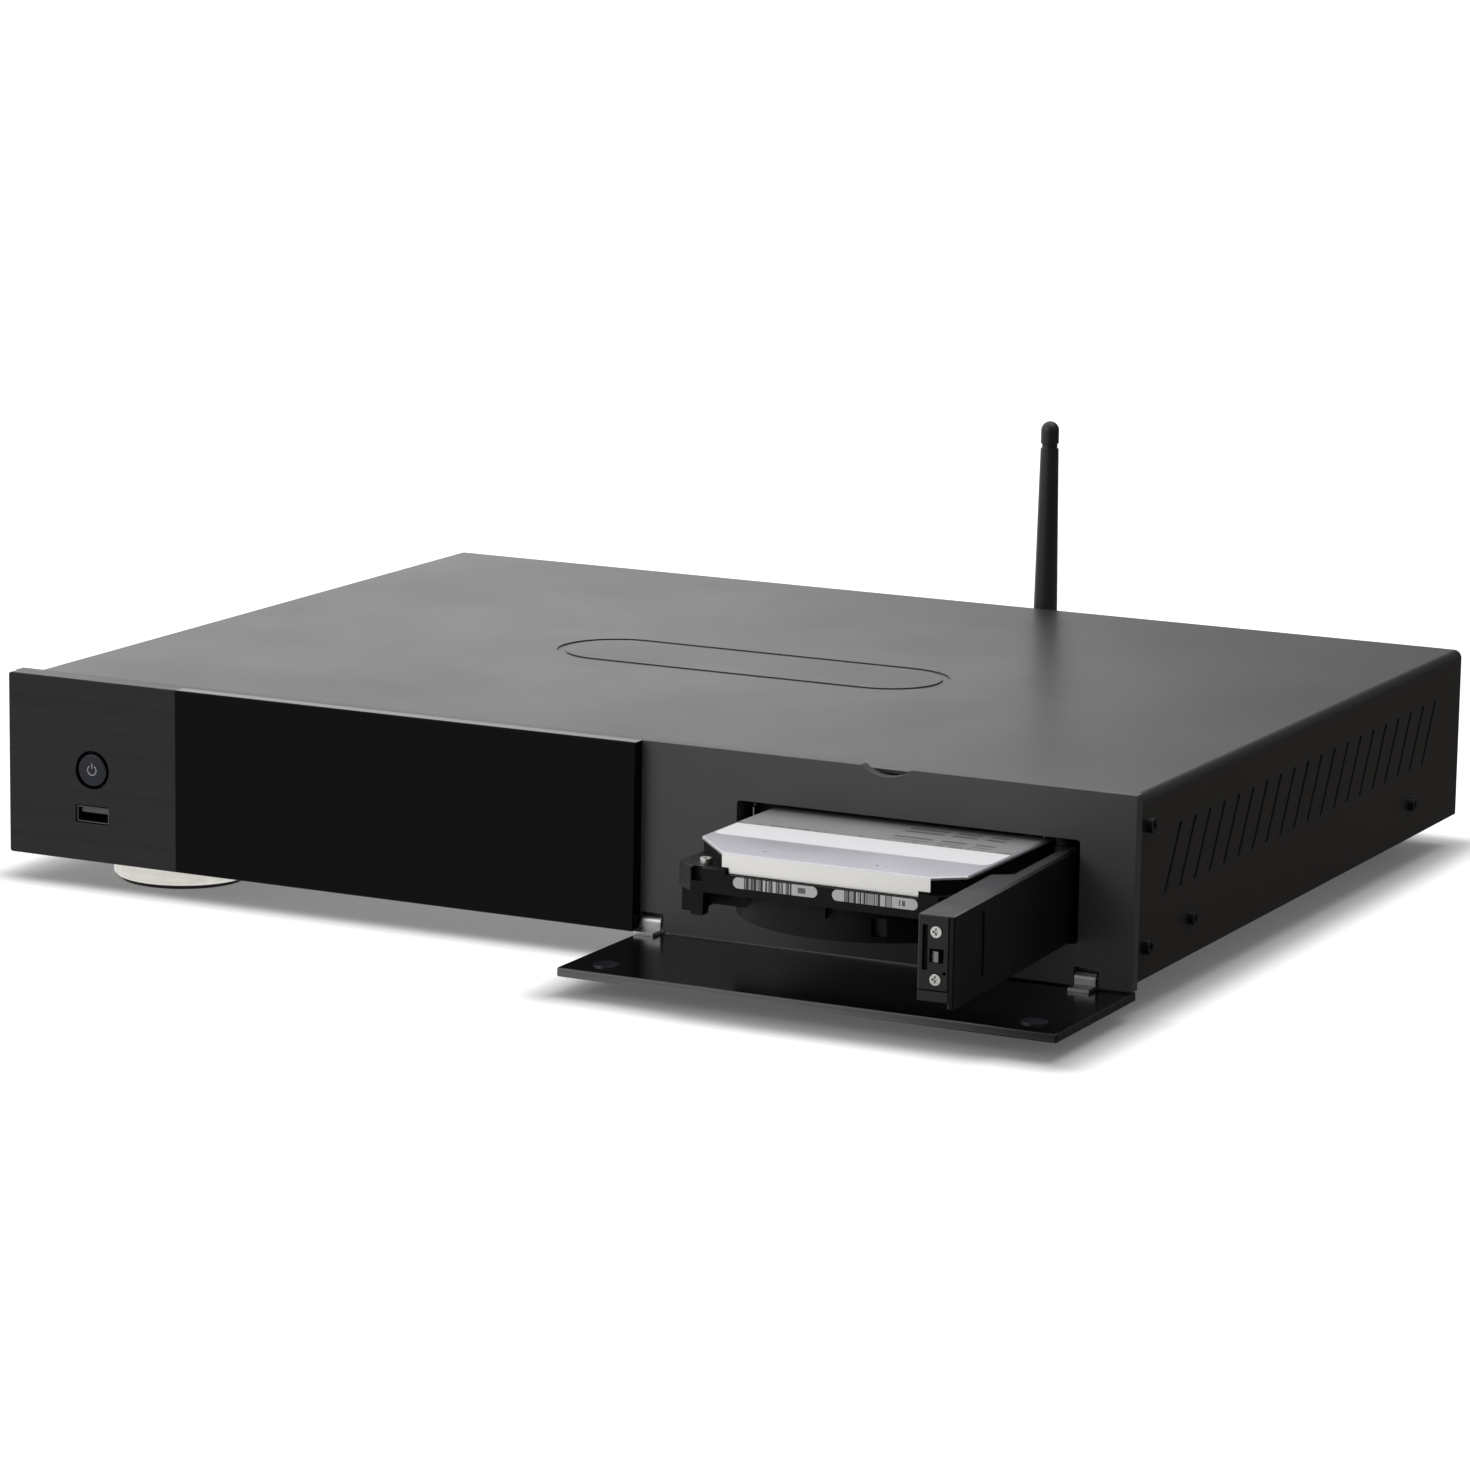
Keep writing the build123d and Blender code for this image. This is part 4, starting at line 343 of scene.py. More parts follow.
# %% Rubber: matt, slightly dusty
def soft_rubber(name, colour):
    finish, tree, shader = start_finish(name, colour, 0.8, specular=0.3)
    space = object_space(tree)
    fine = place_group(tree, grain, space, Grain_Scale=1800.0)
    vary_colour(tree, shader, fine.outputs["Tone"], shade(colour, 0.8), shade(colour, 1.5))
    raise_bump(tree, shader, fine.outputs["Height"], 0.03, 0.7)
    return finish


# %% [markdown]
# ## Finishes for this player
# The colours are the photograph's own, read as plain paint colours: a satin near-black case,
# a dark brushed plate, a jet-black window, a charcoal casting and a pale steel lid.

# %% Make the plain finishes
finishes = {
    "case_paint": powder_coat("case_paint", (0.021, 0.019, 0.0175), 0.42, specular=0.5),
    "rear_paint": powder_coat("rear_paint", (0.014, 0.014, 0.015), 0.5),
    "panel_paint": powder_coat(
        "panel_paint", (0.066, 0.066, 0.069), 0.5, peel_mm=0.02, grain_scale=1100.0
    ),
    "black_screws": powder_coat("black_screws", (0.008, 0.008, 0.008), 0.4),
    "rack_plastic": moulded_plastic("rack_plastic", (0.028, 0.028, 0.033), 0.5, specular=0.35),
    "cap_plastic": moulded_plastic("cap_plastic", (0.014, 0.014, 0.016), 0.42, specular=0.4),
    "door_face_plastic": moulded_plastic(
        "door_face_plastic", (0.004, 0.004, 0.0044), 0.36, specular=0.22
    ),
    "rail_plastic": moulded_plastic("rail_plastic", (0.01, 0.01, 0.011), 0.35),
    "antenna_plastic": moulded_plastic(
        "antenna_plastic", (0.018, 0.018, 0.0185), 0.5, grain_mm=0.03
    ),
    "socket_plastic": moulded_plastic("socket_plastic", (0.012, 0.012, 0.012), 0.4),
    "component_plastic": moulded_plastic("component_plastic", (0.02, 0.02, 0.022), 0.5),
    "drive_casting": moulded_plastic(
        "drive_casting", (0.006, 0.006, 0.0062), 0.45,
        grain_mm=0.05, grain_scale=1500.0, specular=0.12,
    ),
    "fascia_metal": brushed_metal("fascia_metal", (0.03, 0.03, 0.0305), 0.42),
    "chassis_steel": brushed_metal("chassis_steel", (0.55, 0.56, 0.57), 0.4),
    "foot_metal": brushed_metal("foot_metal", (0.72, 0.7, 0.65), 0.22, depth_mm=0.004),
    "arm_metal": brushed_metal("arm_metal", (0.4, 0.4, 0.41), 0.38),
    "heat_sink_metal": brushed_metal(
        "heat_sink_metal", (0.5, 0.51, 0.53), 0.4, lines_along=(0, 0, math.pi / 2)
    ),
    "button_metal": brushed_metal("button_metal", (0.03, 0.032, 0.04), 0.4),
    "pad_metal": plated_metal("pad_metal", (0.1, 0.11, 0.13), 0.4),
    "pin_steel": plated_metal("pin_steel", (0.6, 0.6, 0.61), 0.25),
    "bolt_steel": plated_metal("bolt_steel", (0.28, 0.28, 0.29), 0.35),
    "zinc_screws": plated_metal("zinc_screws", (0.74, 0.73, 0.7), 0.34),
    "socket_metal": plated_metal("socket_metal", (0.6, 0.6, 0.6), 0.25),
    "magnet_metal": plated_metal("magnet_metal", (0.7, 0.7, 0.7), 0.15),
    "brass_parts": plated_metal("brass_parts", (0.65, 0.48, 0.2), 0.28),
    # Painted shade: the front socket's shell, a dark copy of the plated socket metal.
    "socket_painted_shade": plated_metal("socket_painted_shade", (0.09, 0.09, 0.09), 0.35),
    "window_gloss": gloss_black("window_gloss", (0.0015, 0.0015, 0.0016), 0.12, 0.07),
    "foot_rubber": soft_rubber("foot_rubber", (0.012, 0.012, 0.012)),
}
print("plain finishes:", len(finishes))

# %% [markdown]
# ## The flap's cut edges
# The flap is a metal plate with a gloss black face. Its front edge and its two ends are left
# brushed and catch the light as a grey line. They could be separate strips. The plate is one
# node, so a mask does it: 0 over the faces, 1 in a narrow rim along those three edges.

# %% A mask that is 1 between two places along one axis
def between(tree, coordinate, low, high):
    above = add_node(tree, "ShaderNodeMath", operation="GREATER_THAN")
    above.inputs[1].default_value = low
    below = add_node(tree, "ShaderNodeMath", operation="LESS_THAN")
    below.inputs[1].default_value = high
    both = add_node(tree, "ShaderNodeMath", operation="MULTIPLY")
    join(tree, coordinate, above.inputs[0])
    join(tree, coordinate, below.inputs[0])
    join(tree, above.outputs[0], both.inputs[0])
    join(tree, below.outputs[0], both.inputs[1])
    return both.outputs[0]


def times(tree, first, second):
    product = add_node(tree, "ShaderNodeMath", operation="MULTIPLY")
    join(tree, first, product.inputs[0])
    join(tree, second, product.inputs[1])
    return product.outputs[0]


def paint_over(tree, under, mask, colour):
    blend = add_node(tree, "ShaderNodeMix", data_type="RGBA")
    join(tree, mask, blend.inputs[0])
    if isinstance(under, tuple):
        blend.inputs[6].default_value = (*under, 1)
    else:
        join(tree, under, blend.inputs[6])
    blend.inputs[7].default_value = (*colour, 1)
    return blend.outputs[2]


# %% Flap colour: gloss black with a brushed rim
flap_low, flap_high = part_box("flap_panel")
rim = 0.12 * MM
gloss_colour = (0.004, 0.0042, 0.005)
edge_colour = (0.09, 0.092, 0.09)
past_the_end = 1.0  # one metre: further than any piece reaches
finish, tree, shader = start_finish("flap_gloss", gloss_colour, 0.16)
space = object_space(tree)
fine = place_group(tree, grain, space, Grain_Scale=300.0)
marks = place_group(tree, touch, space, Patch_Scale=16.0)
lines = place_group(tree, brushed, space)
darker, lighter = shade(gloss_colour, 0.7), shade(gloss_colour, 1.3)
face = vary_colour(tree, shader, fine.outputs["Tone"], darker, lighter)
place = add_node(tree, "ShaderNodeTexCoord")
split = add_node(tree, "ShaderNodeSeparateXYZ")
join(tree, place.outputs["Object"], split.inputs[0])
inside = times(
    tree,
    between(tree, split.outputs[0], flap_low.x + rim, flap_high.x - rim),
    between(tree, split.outputs[1], flap_low.y + rim, past_the_end),
)
on_edge = add_node(tree, "ShaderNodeMath", operation="SUBTRACT")
on_edge.inputs[0].default_value = 1.0
join(tree, inside, on_edge.inputs[1])
edge = add_node(tree, "ShaderNodeMix", data_type="RGBA")
edge.inputs[6].default_value = (*shade(edge_colour, 0.3), 1)
edge.inputs[7].default_value = (*shade(edge_colour, 2.0), 1)
join(tree, lines.outputs["Tone"], edge.inputs[0])
both = add_node(tree, "ShaderNodeMix", data_type="RGBA")
join(tree, on_edge.outputs[0], both.inputs[0])
join(tree, face.outputs[2], both.inputs[6])
join(tree, edge.outputs[2], both.inputs[7])
join(tree, both.outputs[2], shader.inputs["Base Color"])
join(tree, on_edge.outputs[0], shader.inputs["Metallic"])
print("flap edges:", edge_colour, "rim", round(rim / MM, 2), "mm")

# %% Flap roughness: the gloss face and the brushed rim
face_smoothest, face_roughest = 0.14, 0.24
edge_roughness = 0.42
rough = add_node(tree, "ShaderNodeMix")
join(tree, on_edge.outputs[0], rough.inputs["Factor"])
spread = add_node(tree, "ShaderNodeMapRange")
spread.inputs["To Min"].default_value = face_smoothest
spread.inputs["To Max"].default_value = face_roughest
join(tree, marks.outputs["Mask"], spread.inputs["Value"])
join(tree, spread.outputs["Result"], rough.inputs["A"])
rough.inputs["B"].default_value = edge_roughness
join(tree, rough.outputs["Result"], shader.inputs["Roughness"])
raise_bump(tree, shader, fine.outputs["Height"], 0.002, 0.2)
finishes["flap_gloss"] = finish
print("flap roughness:", face_smoothest, "to", face_roughest, "and", edge_roughness)

# %% [markdown]
# ## The circuit boards
# A board is glass-fibre laminate under green lacquer, with copper runs that show as paler
# lines. The runs could be drawn one by one. Nobody looks that closely at them through the
# vents, so a brick pattern stands for them.

# %% Make the board finish
board_green = (0.01, 0.07, 0.03)
finish, tree, shader = start_finish("circuit_board", board_green, 0.35)
space = object_space(tree)
runs = add_node(tree, "ShaderNodeTexBrick", offset=0.35)
runs.inputs["Scale"].default_value = 160.0
runs.inputs["Mortar Size"].default_value = 0.06
runs.inputs["Color1"].default_value = (*board_green, 1)
runs.inputs["Color2"].default_value = (*shade(board_green, 0.7), 1)
runs.inputs["Mortar"].default_value = (*shade(board_green, 1.9), 1)
join(tree, space, runs.inputs["Vector"])
join(tree, runs.outputs["Color"], shader.inputs["Base Color"])
raise_bump(tree, shader, runs.outputs["Fac"], 0.03, 0.4, edge_mm=0)
finishes["circuit_board"] = finish
print("board finish made")

# %% Smoked glass over the display
finish, tree, shader = start_finish("display_glass", (0.05, 0.06, 0.06), 0.05)
shader.inputs["Transmission Weight"].default_value = 0.6
space = object_space(tree)
fine = place_group(tree, grain, space, Grain_Scale=400.0)
raise_bump(tree, shader, fine.outputs["Height"], 0.002, 0.2, edge_mm=0)
finishes["display_glass"] = finish
print("glass finish made")

# %% [markdown]
# ## The drive's lid and labels
# The lid is satin steel, faintly lilac on top. Its folded front edge is the same steel, painted
# paler: a painted highlight for the light it catches from the front. Its big label has a white
# band along the front and a grey area behind it with rows of print, made of generic blocks. The
# end labels carry plain stripes. Images could hold all this, but masks cut along the axes stay
# sharp at any zoom.

# %% Steel lid, with a painted highlight on its skirt
lid_colour = (0.64, 0.62, 0.68)
# Painted highlight: the skirt is the lid's own steel, given a paler colour for the front light it
# catches.
skirt_painted_highlight = (0.86, 0.85, 0.82)
skirt_top = lid_high.z - 0.5 * MM
finish, tree, shader = start_finish("drive_lid_steel", lid_colour, 0.45, metallic=0.8)
space = object_space(tree)
fine = place_group(tree, grain, space, Grain_Scale=2600.0)
marks = place_group(tree, touch, space, Patch_Scale=30.0)
darker, lighter = shade(lid_colour, 0.92), shade(lid_colour, 1.1)
plate = vary_colour(tree, shader, fine.outputs["Tone"], darker, lighter)
place = add_node(tree, "ShaderNodeTexCoord")
split = add_node(tree, "ShaderNodeSeparateXYZ")
join(tree, place.outputs["Object"], split.inputs[0])
on_skirt = between(tree, split.outputs[2], -past_the_end, skirt_top)
lid_and_painted_skirt = paint_over(tree, plate.outputs[2], on_skirt, skirt_painted_highlight)
join(tree, lid_and_painted_skirt, shader.inputs["Base Color"])
vary_roughness(tree, shader, marks.outputs["Mask"], 0.4, 0.52)
raise_bump(tree, shader, fine.outputs["Height"], 0.01, 0.6)
finishes["drive_lid_steel"] = finish
print("lid finish made; the skirt is below z =", round(skirt_top, 4))

# %% Bars of random width
def stripes(tree, coordinate, pitch_mm, share):
    """Bars of random width across one axis, like a bar pattern."""
    scaled = add_node(tree, "ShaderNodeMath", operation="MULTIPLY")
    scaled.inputs[1].default_value = 1.0 / (pitch_mm * MM)
    whole = add_node(tree, "ShaderNodeMath", operation="FLOOR")
    dice = add_node(tree, "ShaderNodeTexWhiteNoise", noise_dimensions="1D")
    chosen = add_node(tree, "ShaderNodeMath", operation="LESS_THAN")
    chosen.inputs[1].default_value = share
    join(tree, coordinate, scaled.inputs[0])
    join(tree, scaled.outputs[0], whole.inputs[0])
    join(tree, whole.outputs[0], dice.inputs["W"])
    join(tree, dice.outputs["Value"], chosen.inputs[0])
    return chosen.outputs[0]


# %% The big label: a white band, a grey area and rows of generic print
paper_white = (0.9, 0.9, 0.92)
foil_grey = (0.31, 0.32, 0.315)
faint_ink = (0.15, 0.155, 0.15)
band_depth = 18 * MM
band_end = label_low.y + band_depth
label_middle = (label_low.x + label_high.x) / 2
label_finish, label_tree, label_shader = start_finish("label_paper", paper_white, 0.5)
place = add_node(label_tree, "ShaderNodeTexCoord")
split = add_node(label_tree, "ShaderNodeSeparateXYZ")
join(label_tree, place.outputs["Object"], split.inputs[0])
x, y, z = split.outputs[0], split.outputs[1], split.outputs[2]


def within(coordinate, low, high):
    return between(label_tree, coordinate, low, high)


def overlap(first, second):
    return times(label_tree, first, second)


def bars(coordinate, pitch_mm, share):
    return stripes(label_tree, coordinate, pitch_mm, share)


on_lid = within(z, label_low.z - 0.3 * MM, past_the_end)
foil_area = overlap(within(y, band_end, past_the_end), on_lid)
colour = paint_over(label_tree, paper_white, foil_area, foil_grey)
# Rows of generic print on the right half of the grey area, and one just behind the band.
row_zone = within(y, band_end + 4 * MM, label_high.y - 8 * MM)
right_half = overlap(row_zone, within(x, label_middle + 4 * MM, label_high.x - 9 * MM))
print_blocks = overlap(bars(y, 2.2, 0.4), bars(x, 3.0, 0.6))
row_print = overlap(print_blocks, overlap(right_half, on_lid))
colour = paint_over(label_tree, colour, row_print, faint_ink)
edge_row = overlap(within(y, band_end + 1.0 * MM, band_end + 2.2 * MM), on_lid)
colour = paint_over(label_tree, colour, overlap(bars(x, 1.6, 0.35), edge_row), faint_ink)
print("white band", round(band_depth / MM, 1), "mm deep")

# %% The two end labels: plain stripes, then a small square of dots at the right end
ink = (0.03, 0.03, 0.035)
bar_grey = (0.5, 0.5, 0.51)
dot_grey = (0.2, 0.2, 0.21)
end_length = 30 * MM
bars_from, bars_to = 0.13 * end_length, 0.7 * end_length
dots_from, dots_to = 0.77 * end_length, 0.86 * end_length
dot_margin = 0.9 * MM
end_low, end_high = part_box("drive_end_labels")
on_end = within(z, end_low.z - MM, end_high.z + 0.1 * MM)
for start in (end_low.x, end_high.x - end_length):
    bar_zone = overlap(within(x, start + bars_from, start + bars_to), on_end)
    colour = paint_over(label_tree, colour, overlap(bars(x, 0.9, 0.5), bar_zone), bar_grey)
    colour = paint_over(label_tree, colour, overlap(bars(x, 0.3, 0.45), bar_zone), ink)
    dot_zone = overlap(within(x, start + dots_from, start + dots_to), on_end)
    dot_rows = overlap(within(z, end_low.z + dot_margin, end_high.z - dot_margin), dot_zone)
    colour = paint_over(label_tree, colour, overlap(dot_rows, bars(x, 0.55, 0.6)), dot_grey)
print("end labels", round(end_length / MM, 1), "mm long")

# %% Join the labels' colour and a fine paper grain
join(label_tree, colour, label_shader.inputs["Base Color"])
paper_grain = place_group(label_tree, grain, object_space(label_tree), Grain_Scale=1200.0)
raise_bump(label_tree, label_shader, paper_grain.outputs["Height"], 0.008, 0.5, edge_mm=0)
finishes["label_paper"] = label_finish
print("label finish made")

# %% [markdown]
# ## Give every node its finish
# The record says which material slot each node has. A node's object keeps its mesh and its
# place, and only the material in its slot changes. Two nodes are named apart: the latch bolt is
# duller than the pins it shares a slot with, and the front socket's shell gets painted shade,
# a dark copy of the socket metal that the back sockets have.

# %% Assign the finishes
slot_of = {entry["node"]: entry["material_slot"] for entry in frame["record"]["subparts"]}
own_finish = {"latch_bolt": "bolt_steel", "front_usb_socket": "socket_painted_shade"}
for name, piece in nodes.items():
    finish = finishes[own_finish.get(name, slot_of[name])]
    if not piece.material_slots:
        piece.data.materials.append(finish)
    for slot in piece.material_slots:
        slot.material = finish
print("finished nodes:", len(nodes))

# %% [markdown]
# ## The power mark
# The button carries the standard on/off mark: a broken ring with a bar in the gap. It is a
# print on the real cap. A texture could show it, but a thin raised piece keeps its shape in
# every export, so a short arc and a bar stand 0.05 mm proud of the cap.

# %% Spin the broken ring
mark_radius = 1.75 * MM
mark_width = 0.42 * MM
gap = math.radians(34)
quarter_turn = math.radians(90)
mark = bmesh.new()
corners = [
    mark.verts.new((mark_radius - mark_width / 2, 0, 0)),
    mark.verts.new((mark_radius + mark_width / 2, 0, 0)),
]
mark.edges.new(corners)
bmesh.ops.rotate(
    mark, verts=mark.verts, cent=(0, 0, 0), matrix=Matrix.Rotation(-quarter_turn - gap, 3, "Y")
)
bmesh.ops.spin(
    mark, geom=mark.verts[:] + mark.edges[:], cent=(0, 0, 0), axis=(0, 1, 0),
    angle=-(2 * math.pi - 2 * gap), steps=40, use_merge=False,
)
print("ring faces:", len(mark.faces))

# %% Add the bar and give both a thickness
mark_height = 0.05 * MM
bar_length = 1.9 * MM
bar_centre = 1.55 * MM
bar = bmesh.ops.create_grid(mark, x_segments=1, y_segments=1, size=0.5)
bmesh.ops.scale(mark, verts=bar["verts"], vec=(mark_width, bar_length, 1))
bmesh.ops.rotate(
    mark, verts=bar["verts"], cent=(0, 0, 0), matrix=Matrix.Rotation(quarter_turn, 3, "X")
)
bmesh.ops.translate(mark, verts=bar["verts"], vec=(0, 0, bar_centre))
sheet = bmesh.ops.extrude_face_region(mark, geom=mark.faces[:])
raised = [v for v in sheet["geom"] if isinstance(v, bmesh.types.BMVert)]
bmesh.ops.translate(mark, verts=raised, vec=(0, -mark_height, 0))
bmesh.ops.recalc_face_normals(mark, faces=mark.faces)
print("mark faces:", len(mark.faces))

# %% Put the mark on the button
clear_of_cap = 0.01 * MM
on_the_cap = (button_middle.x, cap_low.y + clear_of_cap, button_middle.z)
bmesh.ops.translate(mark, verts=mark.verts, vec=on_the_cap)
mark_mesh = bpy.data.meshes.new("power_mark")
mark.to_mesh(mark_mesh)
mark.free()
power_mark = bpy.data.objects.new("power_mark", mark_mesh)
bpy.context.scene.collection.objects.link(power_mark)
power_mark.data.materials.append(moulded_plastic("mark_print", (0.6, 0.61, 0.64), 0.5))
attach(power_mark, "power_button")
print("power mark at", [round(v, 4) for v in on_the_cap])

# %% [markdown]
# ## Guide post and knobs in the rack's mouth
# A small bright metal post and two round knobs show at the rack's mouth, where the guides
# begin. Plain bars would do at this size, but a turned piece with a rounded head costs only a
# spun outline, and it catches the light as the real one does.

# %% Turn a post from half its outline
def turned_post(name, outline, place, finish, steps=16):
    """Spin an outline of (radius, height) points round the post's own upright axis."""
    post = bmesh.new()
    points = [post.verts.new((radius * MM, 0, height * MM)) for radius, height in outline]
    for lower, upper in zip(points, points[1:]):
        post.edges.new((lower, upper))
    bmesh.ops.spin(
        post, geom=post.verts[:] + post.edges[:], cent=(0, 0, 0), axis=(0, 0, 1),
        angle=2 * math.pi, steps=steps, use_merge=True,
    )
    bmesh.ops.remove_doubles(post, verts=post.verts, dist=0.001 * MM)
    bmesh.ops.recalc_face_normals(post, faces=post.faces)
    bmesh.ops.translate(post, verts=post.verts, vec=place)
    mesh = bpy.data.meshes.new(name)
    post.to_mesh(mesh)
    post.free()
    mesh.shade_smooth()
    piece = bpy.data.objects.new(name, mesh)
    bpy.context.scene.collection.objects.link(piece)
    piece.data.materials.append(finish)
    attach(piece, "case")


# %% Set the post and the two knobs
frame_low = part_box("rack_frame")[0]
bright = finishes["zinc_screws"]
post_y = frame_low.y + 0.9 * MM
left_wall = lid_low.x - 7.3 * MM
left_outline = [(0, 0), (0.42, 0), (0.42, 0.5), (0.25, 0.9), (0.25, 5.4), (0.2, 5.6), (0, 5.7)]
knob_outline = [(0, 0), (0.3, 0.05), (0.45, 0.3), (0.45, 0.55), (0.3, 0.8), (0, 0.85)]
post_foot = (left_wall, post_y, lid_high.z - 6.2 * MM)
left_knob_foot = (left_wall + 0.5 * MM, post_y, lid_high.z - 0.1 * MM)
right_knob_foot = (lid_high.x - 1.6 * MM, post_y, lid_high.z + 0.5 * MM)
turned_post("guide_post_left", left_outline, post_foot, bright)
turned_post("guide_knob_left", knob_outline, left_knob_foot, bright)
turned_post("guide_knob_right", knob_outline, right_knob_foot, bright)
print("post and knobs at y =", round(post_y, 4), "left wall x =", round(left_wall, 4))

# %% [markdown]
# ## Floor and backdrop
# The player stands on a white sweep. One plain white floor could serve every ray, but it would
# light the dark case from below. So the camera sees white paper, with a soft shadow close
# round the case and the flap that is partly real and partly painted: the paper's glow is
# turned down near their outlines. All other rays see a dark table. Reflections also see a
# white board on its left part, which the foot and the drive mirror. It ends before the right
# side, which is nearly black in the photograph.

# %% Pick out kinds of ray
def on_rays(tree, *labels):
    """1 for the named kinds of ray, 0 for all others."""
    rays = add_node(tree, "ShaderNodeLightPath")
    result = rays.outputs[labels[0]]
    for label in labels[1:]:
        either = add_node(tree, "ShaderNodeMath", operation="MAXIMUM")
        join(tree, result, either.inputs[0])
        join(tree, rays.outputs[label], either.inputs[1])
        result = either.outputs[0]
    return result


def ramp(tree, value, start, end, low, high):
    """A value that goes from low at start to high at end, and stays level outside."""
    spread = add_node(tree, "ShaderNodeMapRange", interpolation_type="SMOOTHSTEP")
    spread.inputs["From Min"].default_value = start
    spread.inputs["From Max"].default_value = end
    spread.inputs["To Min"].default_value = low
    spread.inputs["To Max"].default_value = high
    join(tree, value, spread.inputs["Value"])
    return spread.outputs["Result"]


# %% Measure how far a point of the floor is from a piece's outline
def outside(tree, point, low, high):
    """Distance from a point to a box, seen from above."""
    middle = ((low.x + high.x) / 2, (low.y + high.y) / 2, 0)
    half = ((high.x - low.x) / 2, (high.y - low.y) / 2, 10)
    steps = (("SUBTRACT", middle), ("ABSOLUTE", None), ("SUBTRACT", half), ("MAXIMUM", (0, 0, 0)))
    for operation, amount in steps:
        step = add_node(tree, "ShaderNodeVectorMath", operation=operation)
        join(tree, point, step.inputs[0])
        if amount:
            step.inputs[1].default_value = amount
        point = step.outputs["Vector"]
    reach = add_node(tree, "ShaderNodeVectorMath", operation="LENGTH")
    join(tree, point, reach.inputs[0])
    return reach.outputs["Value"]


# %% Lay the floor
floor_size = 20.0
floor = bmesh.new()
bmesh.ops.create_grid(floor, x_segments=1, y_segments=1, size=floor_size)
floor_mesh = bpy.data.meshes.new("floor")
floor.to_mesh(floor_mesh)
floor.free()
floor_piece = bpy.data.objects.new("floor", floor_mesh)
bpy.context.scene.collection.objects.link(floor_piece)
print("floor", floor_size, "m each way from the middle")

# %% Paper for the camera: white, with a painted shadow close to the case and the flap
painted_shadow_reach = 21 * MM
painted_shadow_glow, full_glow = 0.08, 0.8
paper_grey = 0.55
sweep = bpy.data.materials.new("white_sweep")
sweep.use_nodes = True
tree = sweep.node_tree
tree.nodes.remove(tree.nodes["Principled BSDF"])
place = add_node(tree, "ShaderNodeTexCoord")
point = place.outputs["Object"]
nearest = add_node(tree, "ShaderNodeMath", operation="MINIMUM")
join(tree, outside(tree, point, cover_low, cover_high), nearest.inputs[0])
join(tree, outside(tree, point, flap_low, flap_high), nearest.inputs[1])
paper = add_node(tree, "ShaderNodeBsdfDiffuse")
paper.inputs["Color"].default_value = (paper_grey, paper_grey, paper_grey, 1)
glow = add_node(tree, "ShaderNodeEmission")
# Painted shadow: the glow is dimmest at the outlines of the case and the flap and full beyond the
# reach.
glow_with_painted_shadow = ramp(tree, nearest.outputs[0], 0.0, painted_shadow_reach, painted_shadow_glow, full_glow)
join(tree, glow_with_painted_shadow, glow.inputs["Strength"])
lit_paper = add_node(tree, "ShaderNodeAddShader")
join(tree, paper.outputs[0], lit_paper.inputs[0])
join(tree, glow.outputs[0], lit_paper.inputs[1])
print("the shadow fades over", round(painted_shadow_reach / MM, 1), "mm")

# %% Table for the other rays: dark, with a white board that only reflections see
table_colour = (0.1, 0.095, 0.09)
board_fades_from, board_ends, board_glow = 0.11, 0.2, 0.9
table = add_node(tree, "ShaderNodeBsdfDiffuse")
table.inputs["Color"].default_value = (*table_colour, 1)
white_board = add_node(tree, "ShaderNodeEmission")
split = add_node(tree, "ShaderNodeSeparateXYZ")
join(tree, point, split.inputs[0])
board_level = ramp(tree, split.outputs["X"], board_fades_from, board_ends, board_glow, 0.0)
join(tree, board_level, white_board.inputs["Strength"])
mirrored_floor = add_node(tree, "ShaderNodeAddShader")
join(tree, table.outputs[0], mirrored_floor.inputs[0])
join(tree, white_board.outputs[0], mirrored_floor.inputs[1])
print("the white board ends at x =", board_ends)

# %% Choose by kind of ray
mirrored = add_node(tree, "ShaderNodeMixShader")
join(tree, on_rays(tree, "Is Glossy Ray", "Is Transmission Ray"), mirrored.inputs["Fac"])
join(tree, table.outputs[0], mirrored.inputs[1])
join(tree, mirrored_floor.outputs[0], mirrored.inputs[2])
seen = add_node(tree, "ShaderNodeMixShader")
join(tree, on_rays(tree, "Is Camera Ray"), seen.inputs["Fac"])
join(tree, mirrored.outputs[0], seen.inputs[1])
join(tree, lit_paper.outputs[0], seen.inputs[2])
join(tree, seen.outputs[0], tree.nodes["Material Output"].inputs["Surface"])
floor_piece.data.materials.append(sweep)
print("floor finish:", sweep.name)

# %% [markdown]
# ## Room and lamps
# The camera sees a white room. In reflections its right-hand half is dark: that is why the
# case's top fades from left to right and its right side is nearly black. An image of a studio
# could light the scene. A plain level from every side, soft boxes above, in front and behind
# on the left, and a broad, weak sun for the floor's shadow are easier to adjust.

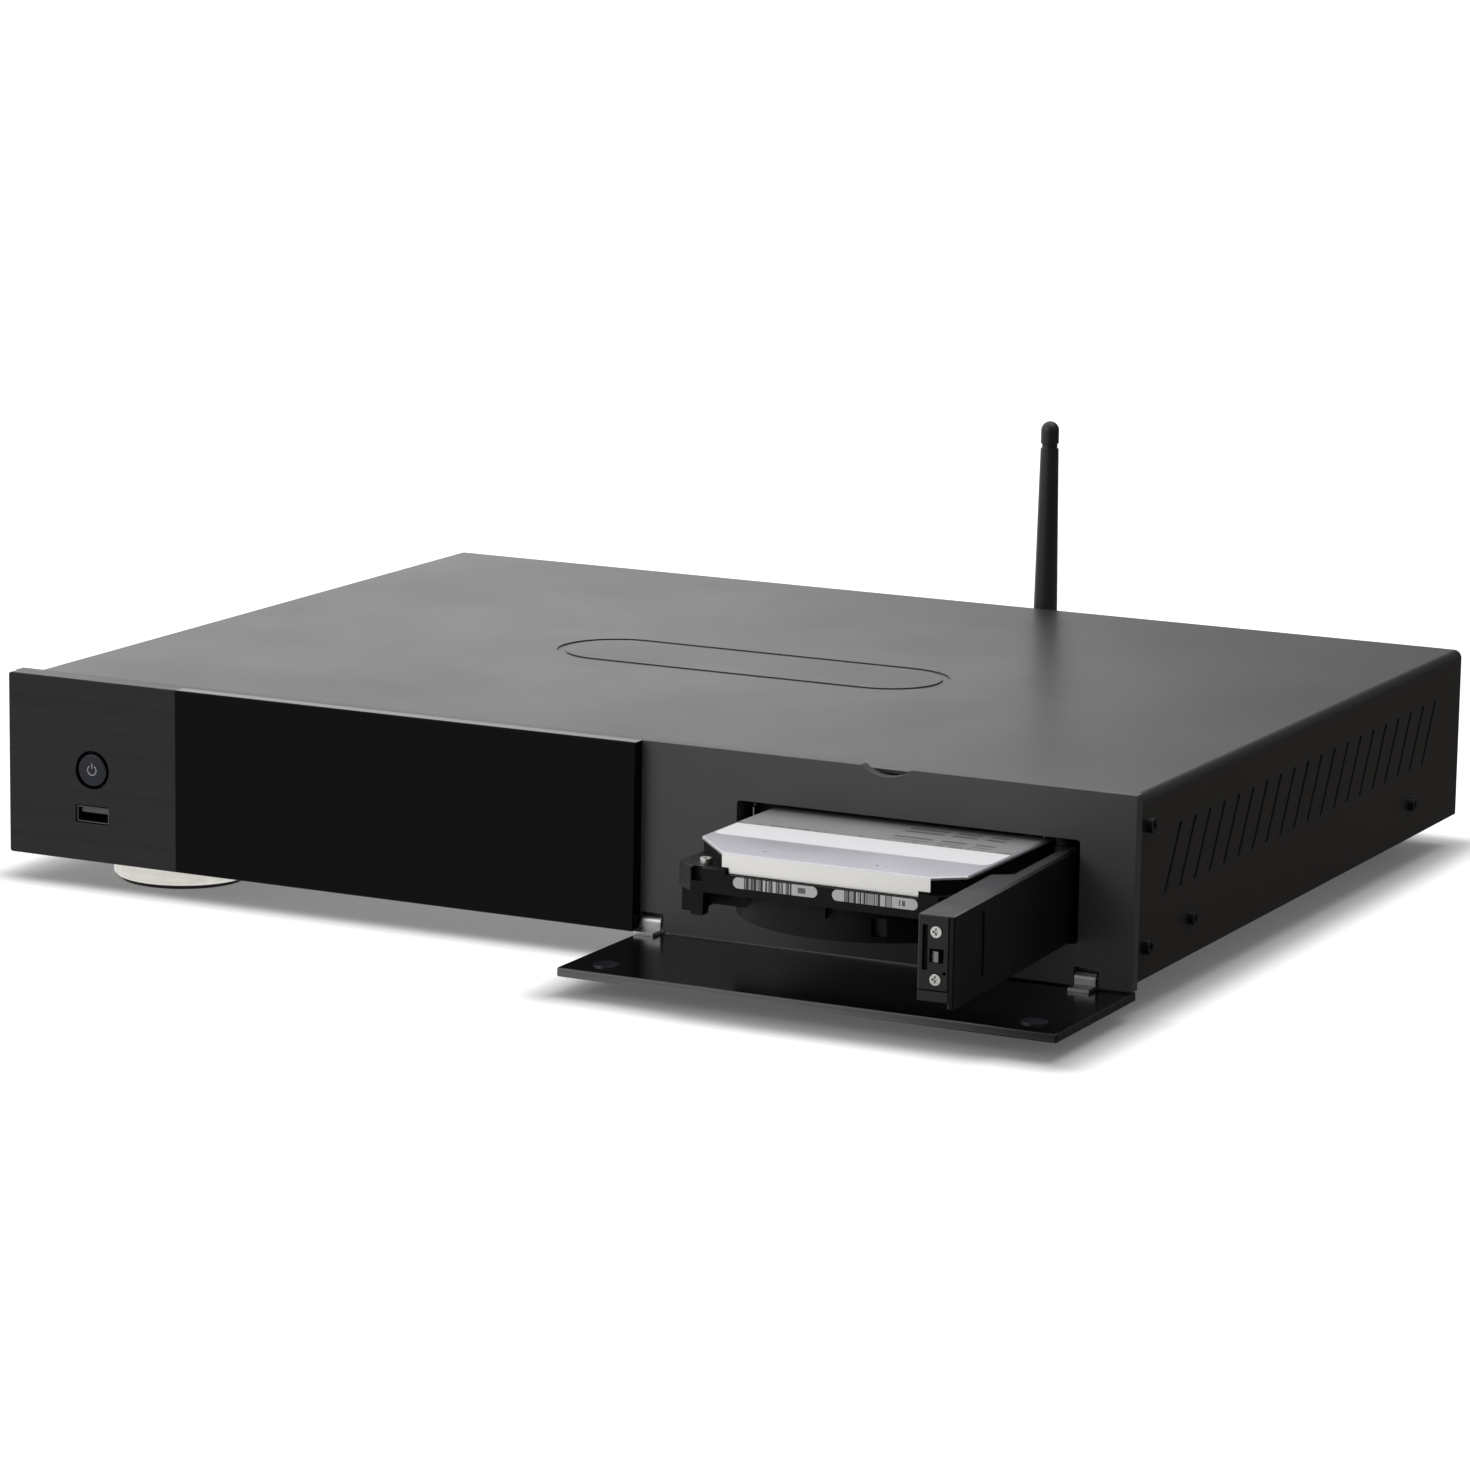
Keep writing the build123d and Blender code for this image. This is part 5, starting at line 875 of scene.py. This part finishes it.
# %% Set the room's light
room_level = 0.34
lit_end, dark_end = 1.0, 0.12
fade_from, fade_to = -0.7, 0.0
world = bpy.data.worlds.new("studio")
bpy.context.scene.world = world
world.use_nodes = True
tree = world.node_tree
background = tree.nodes["Background"]
background.inputs["Color"].default_value = (1, 1, 1, 1)
heading = add_node(tree, "ShaderNodeTexCoord")
split = add_node(tree, "ShaderNodeSeparateXYZ")
join(tree, heading.outputs["Generated"], split.inputs[0])
glossy_level = ramp(tree, split.outputs["X"], fade_from, fade_to, lit_end, dark_end)
mirrored = add_node(tree, "ShaderNodeMix")
mirrored.inputs["A"].default_value = room_level
join(tree, on_rays(tree, "Is Glossy Ray"), mirrored.inputs["Factor"])
join(tree, glossy_level, mirrored.inputs["B"])
seen = add_node(tree, "ShaderNodeMix")
seen.inputs["B"].default_value = 1.0
join(tree, on_rays(tree, "Is Camera Ray", "Is Transmission Ray"), seen.inputs["Factor"])
join(tree, mirrored.outputs["Result"], seen.inputs["A"])
join(tree, seen.outputs["Result"], background.inputs["Strength"])
print("room level", room_level, "mirrored", lit_end, "to", dark_end)


# %% Hang the soft boxes
def soft_box(name, place, aim, width, height, radiance):
    """A flat lamp of a given brightness, whatever its size."""
    data = bpy.data.lights.new(name, "AREA")
    data.shape = "RECTANGLE"
    data.size = width
    data.size_y = height
    data.energy = radiance * math.pi * width * height
    box = bpy.data.objects.new(name, data)
    box.location = place
    box.rotation_euler = (Vector(aim) - Vector(place)).to_track_quat("-Z", "Y").to_euler()
    bpy.context.scene.collection.objects.link(box)


soft_box("ceiling_box", (-0.3, 0.2, 2.0), (0, 0, 0), 2.6, 2.6, 0.7)
soft_box("front_box", (-1.0, -1.7, 1.1), (0, 0, 0.04), 1.3, 1.1, 2.5)
soft_box("rear_box", (-2.2, 2.2, 0.7), (0, 0, 0.05), 2.8, 1.4, 0.95)

sun_data = bpy.data.lights.new("window_light", "SUN")
sun_data.energy = 0.8
sun_data.angle = math.radians(35)
sun = bpy.data.objects.new("window_light", sun_data)
sun.rotation_euler = (math.radians(-14), math.radians(10), 0)
bpy.context.scene.collection.objects.link(sun)
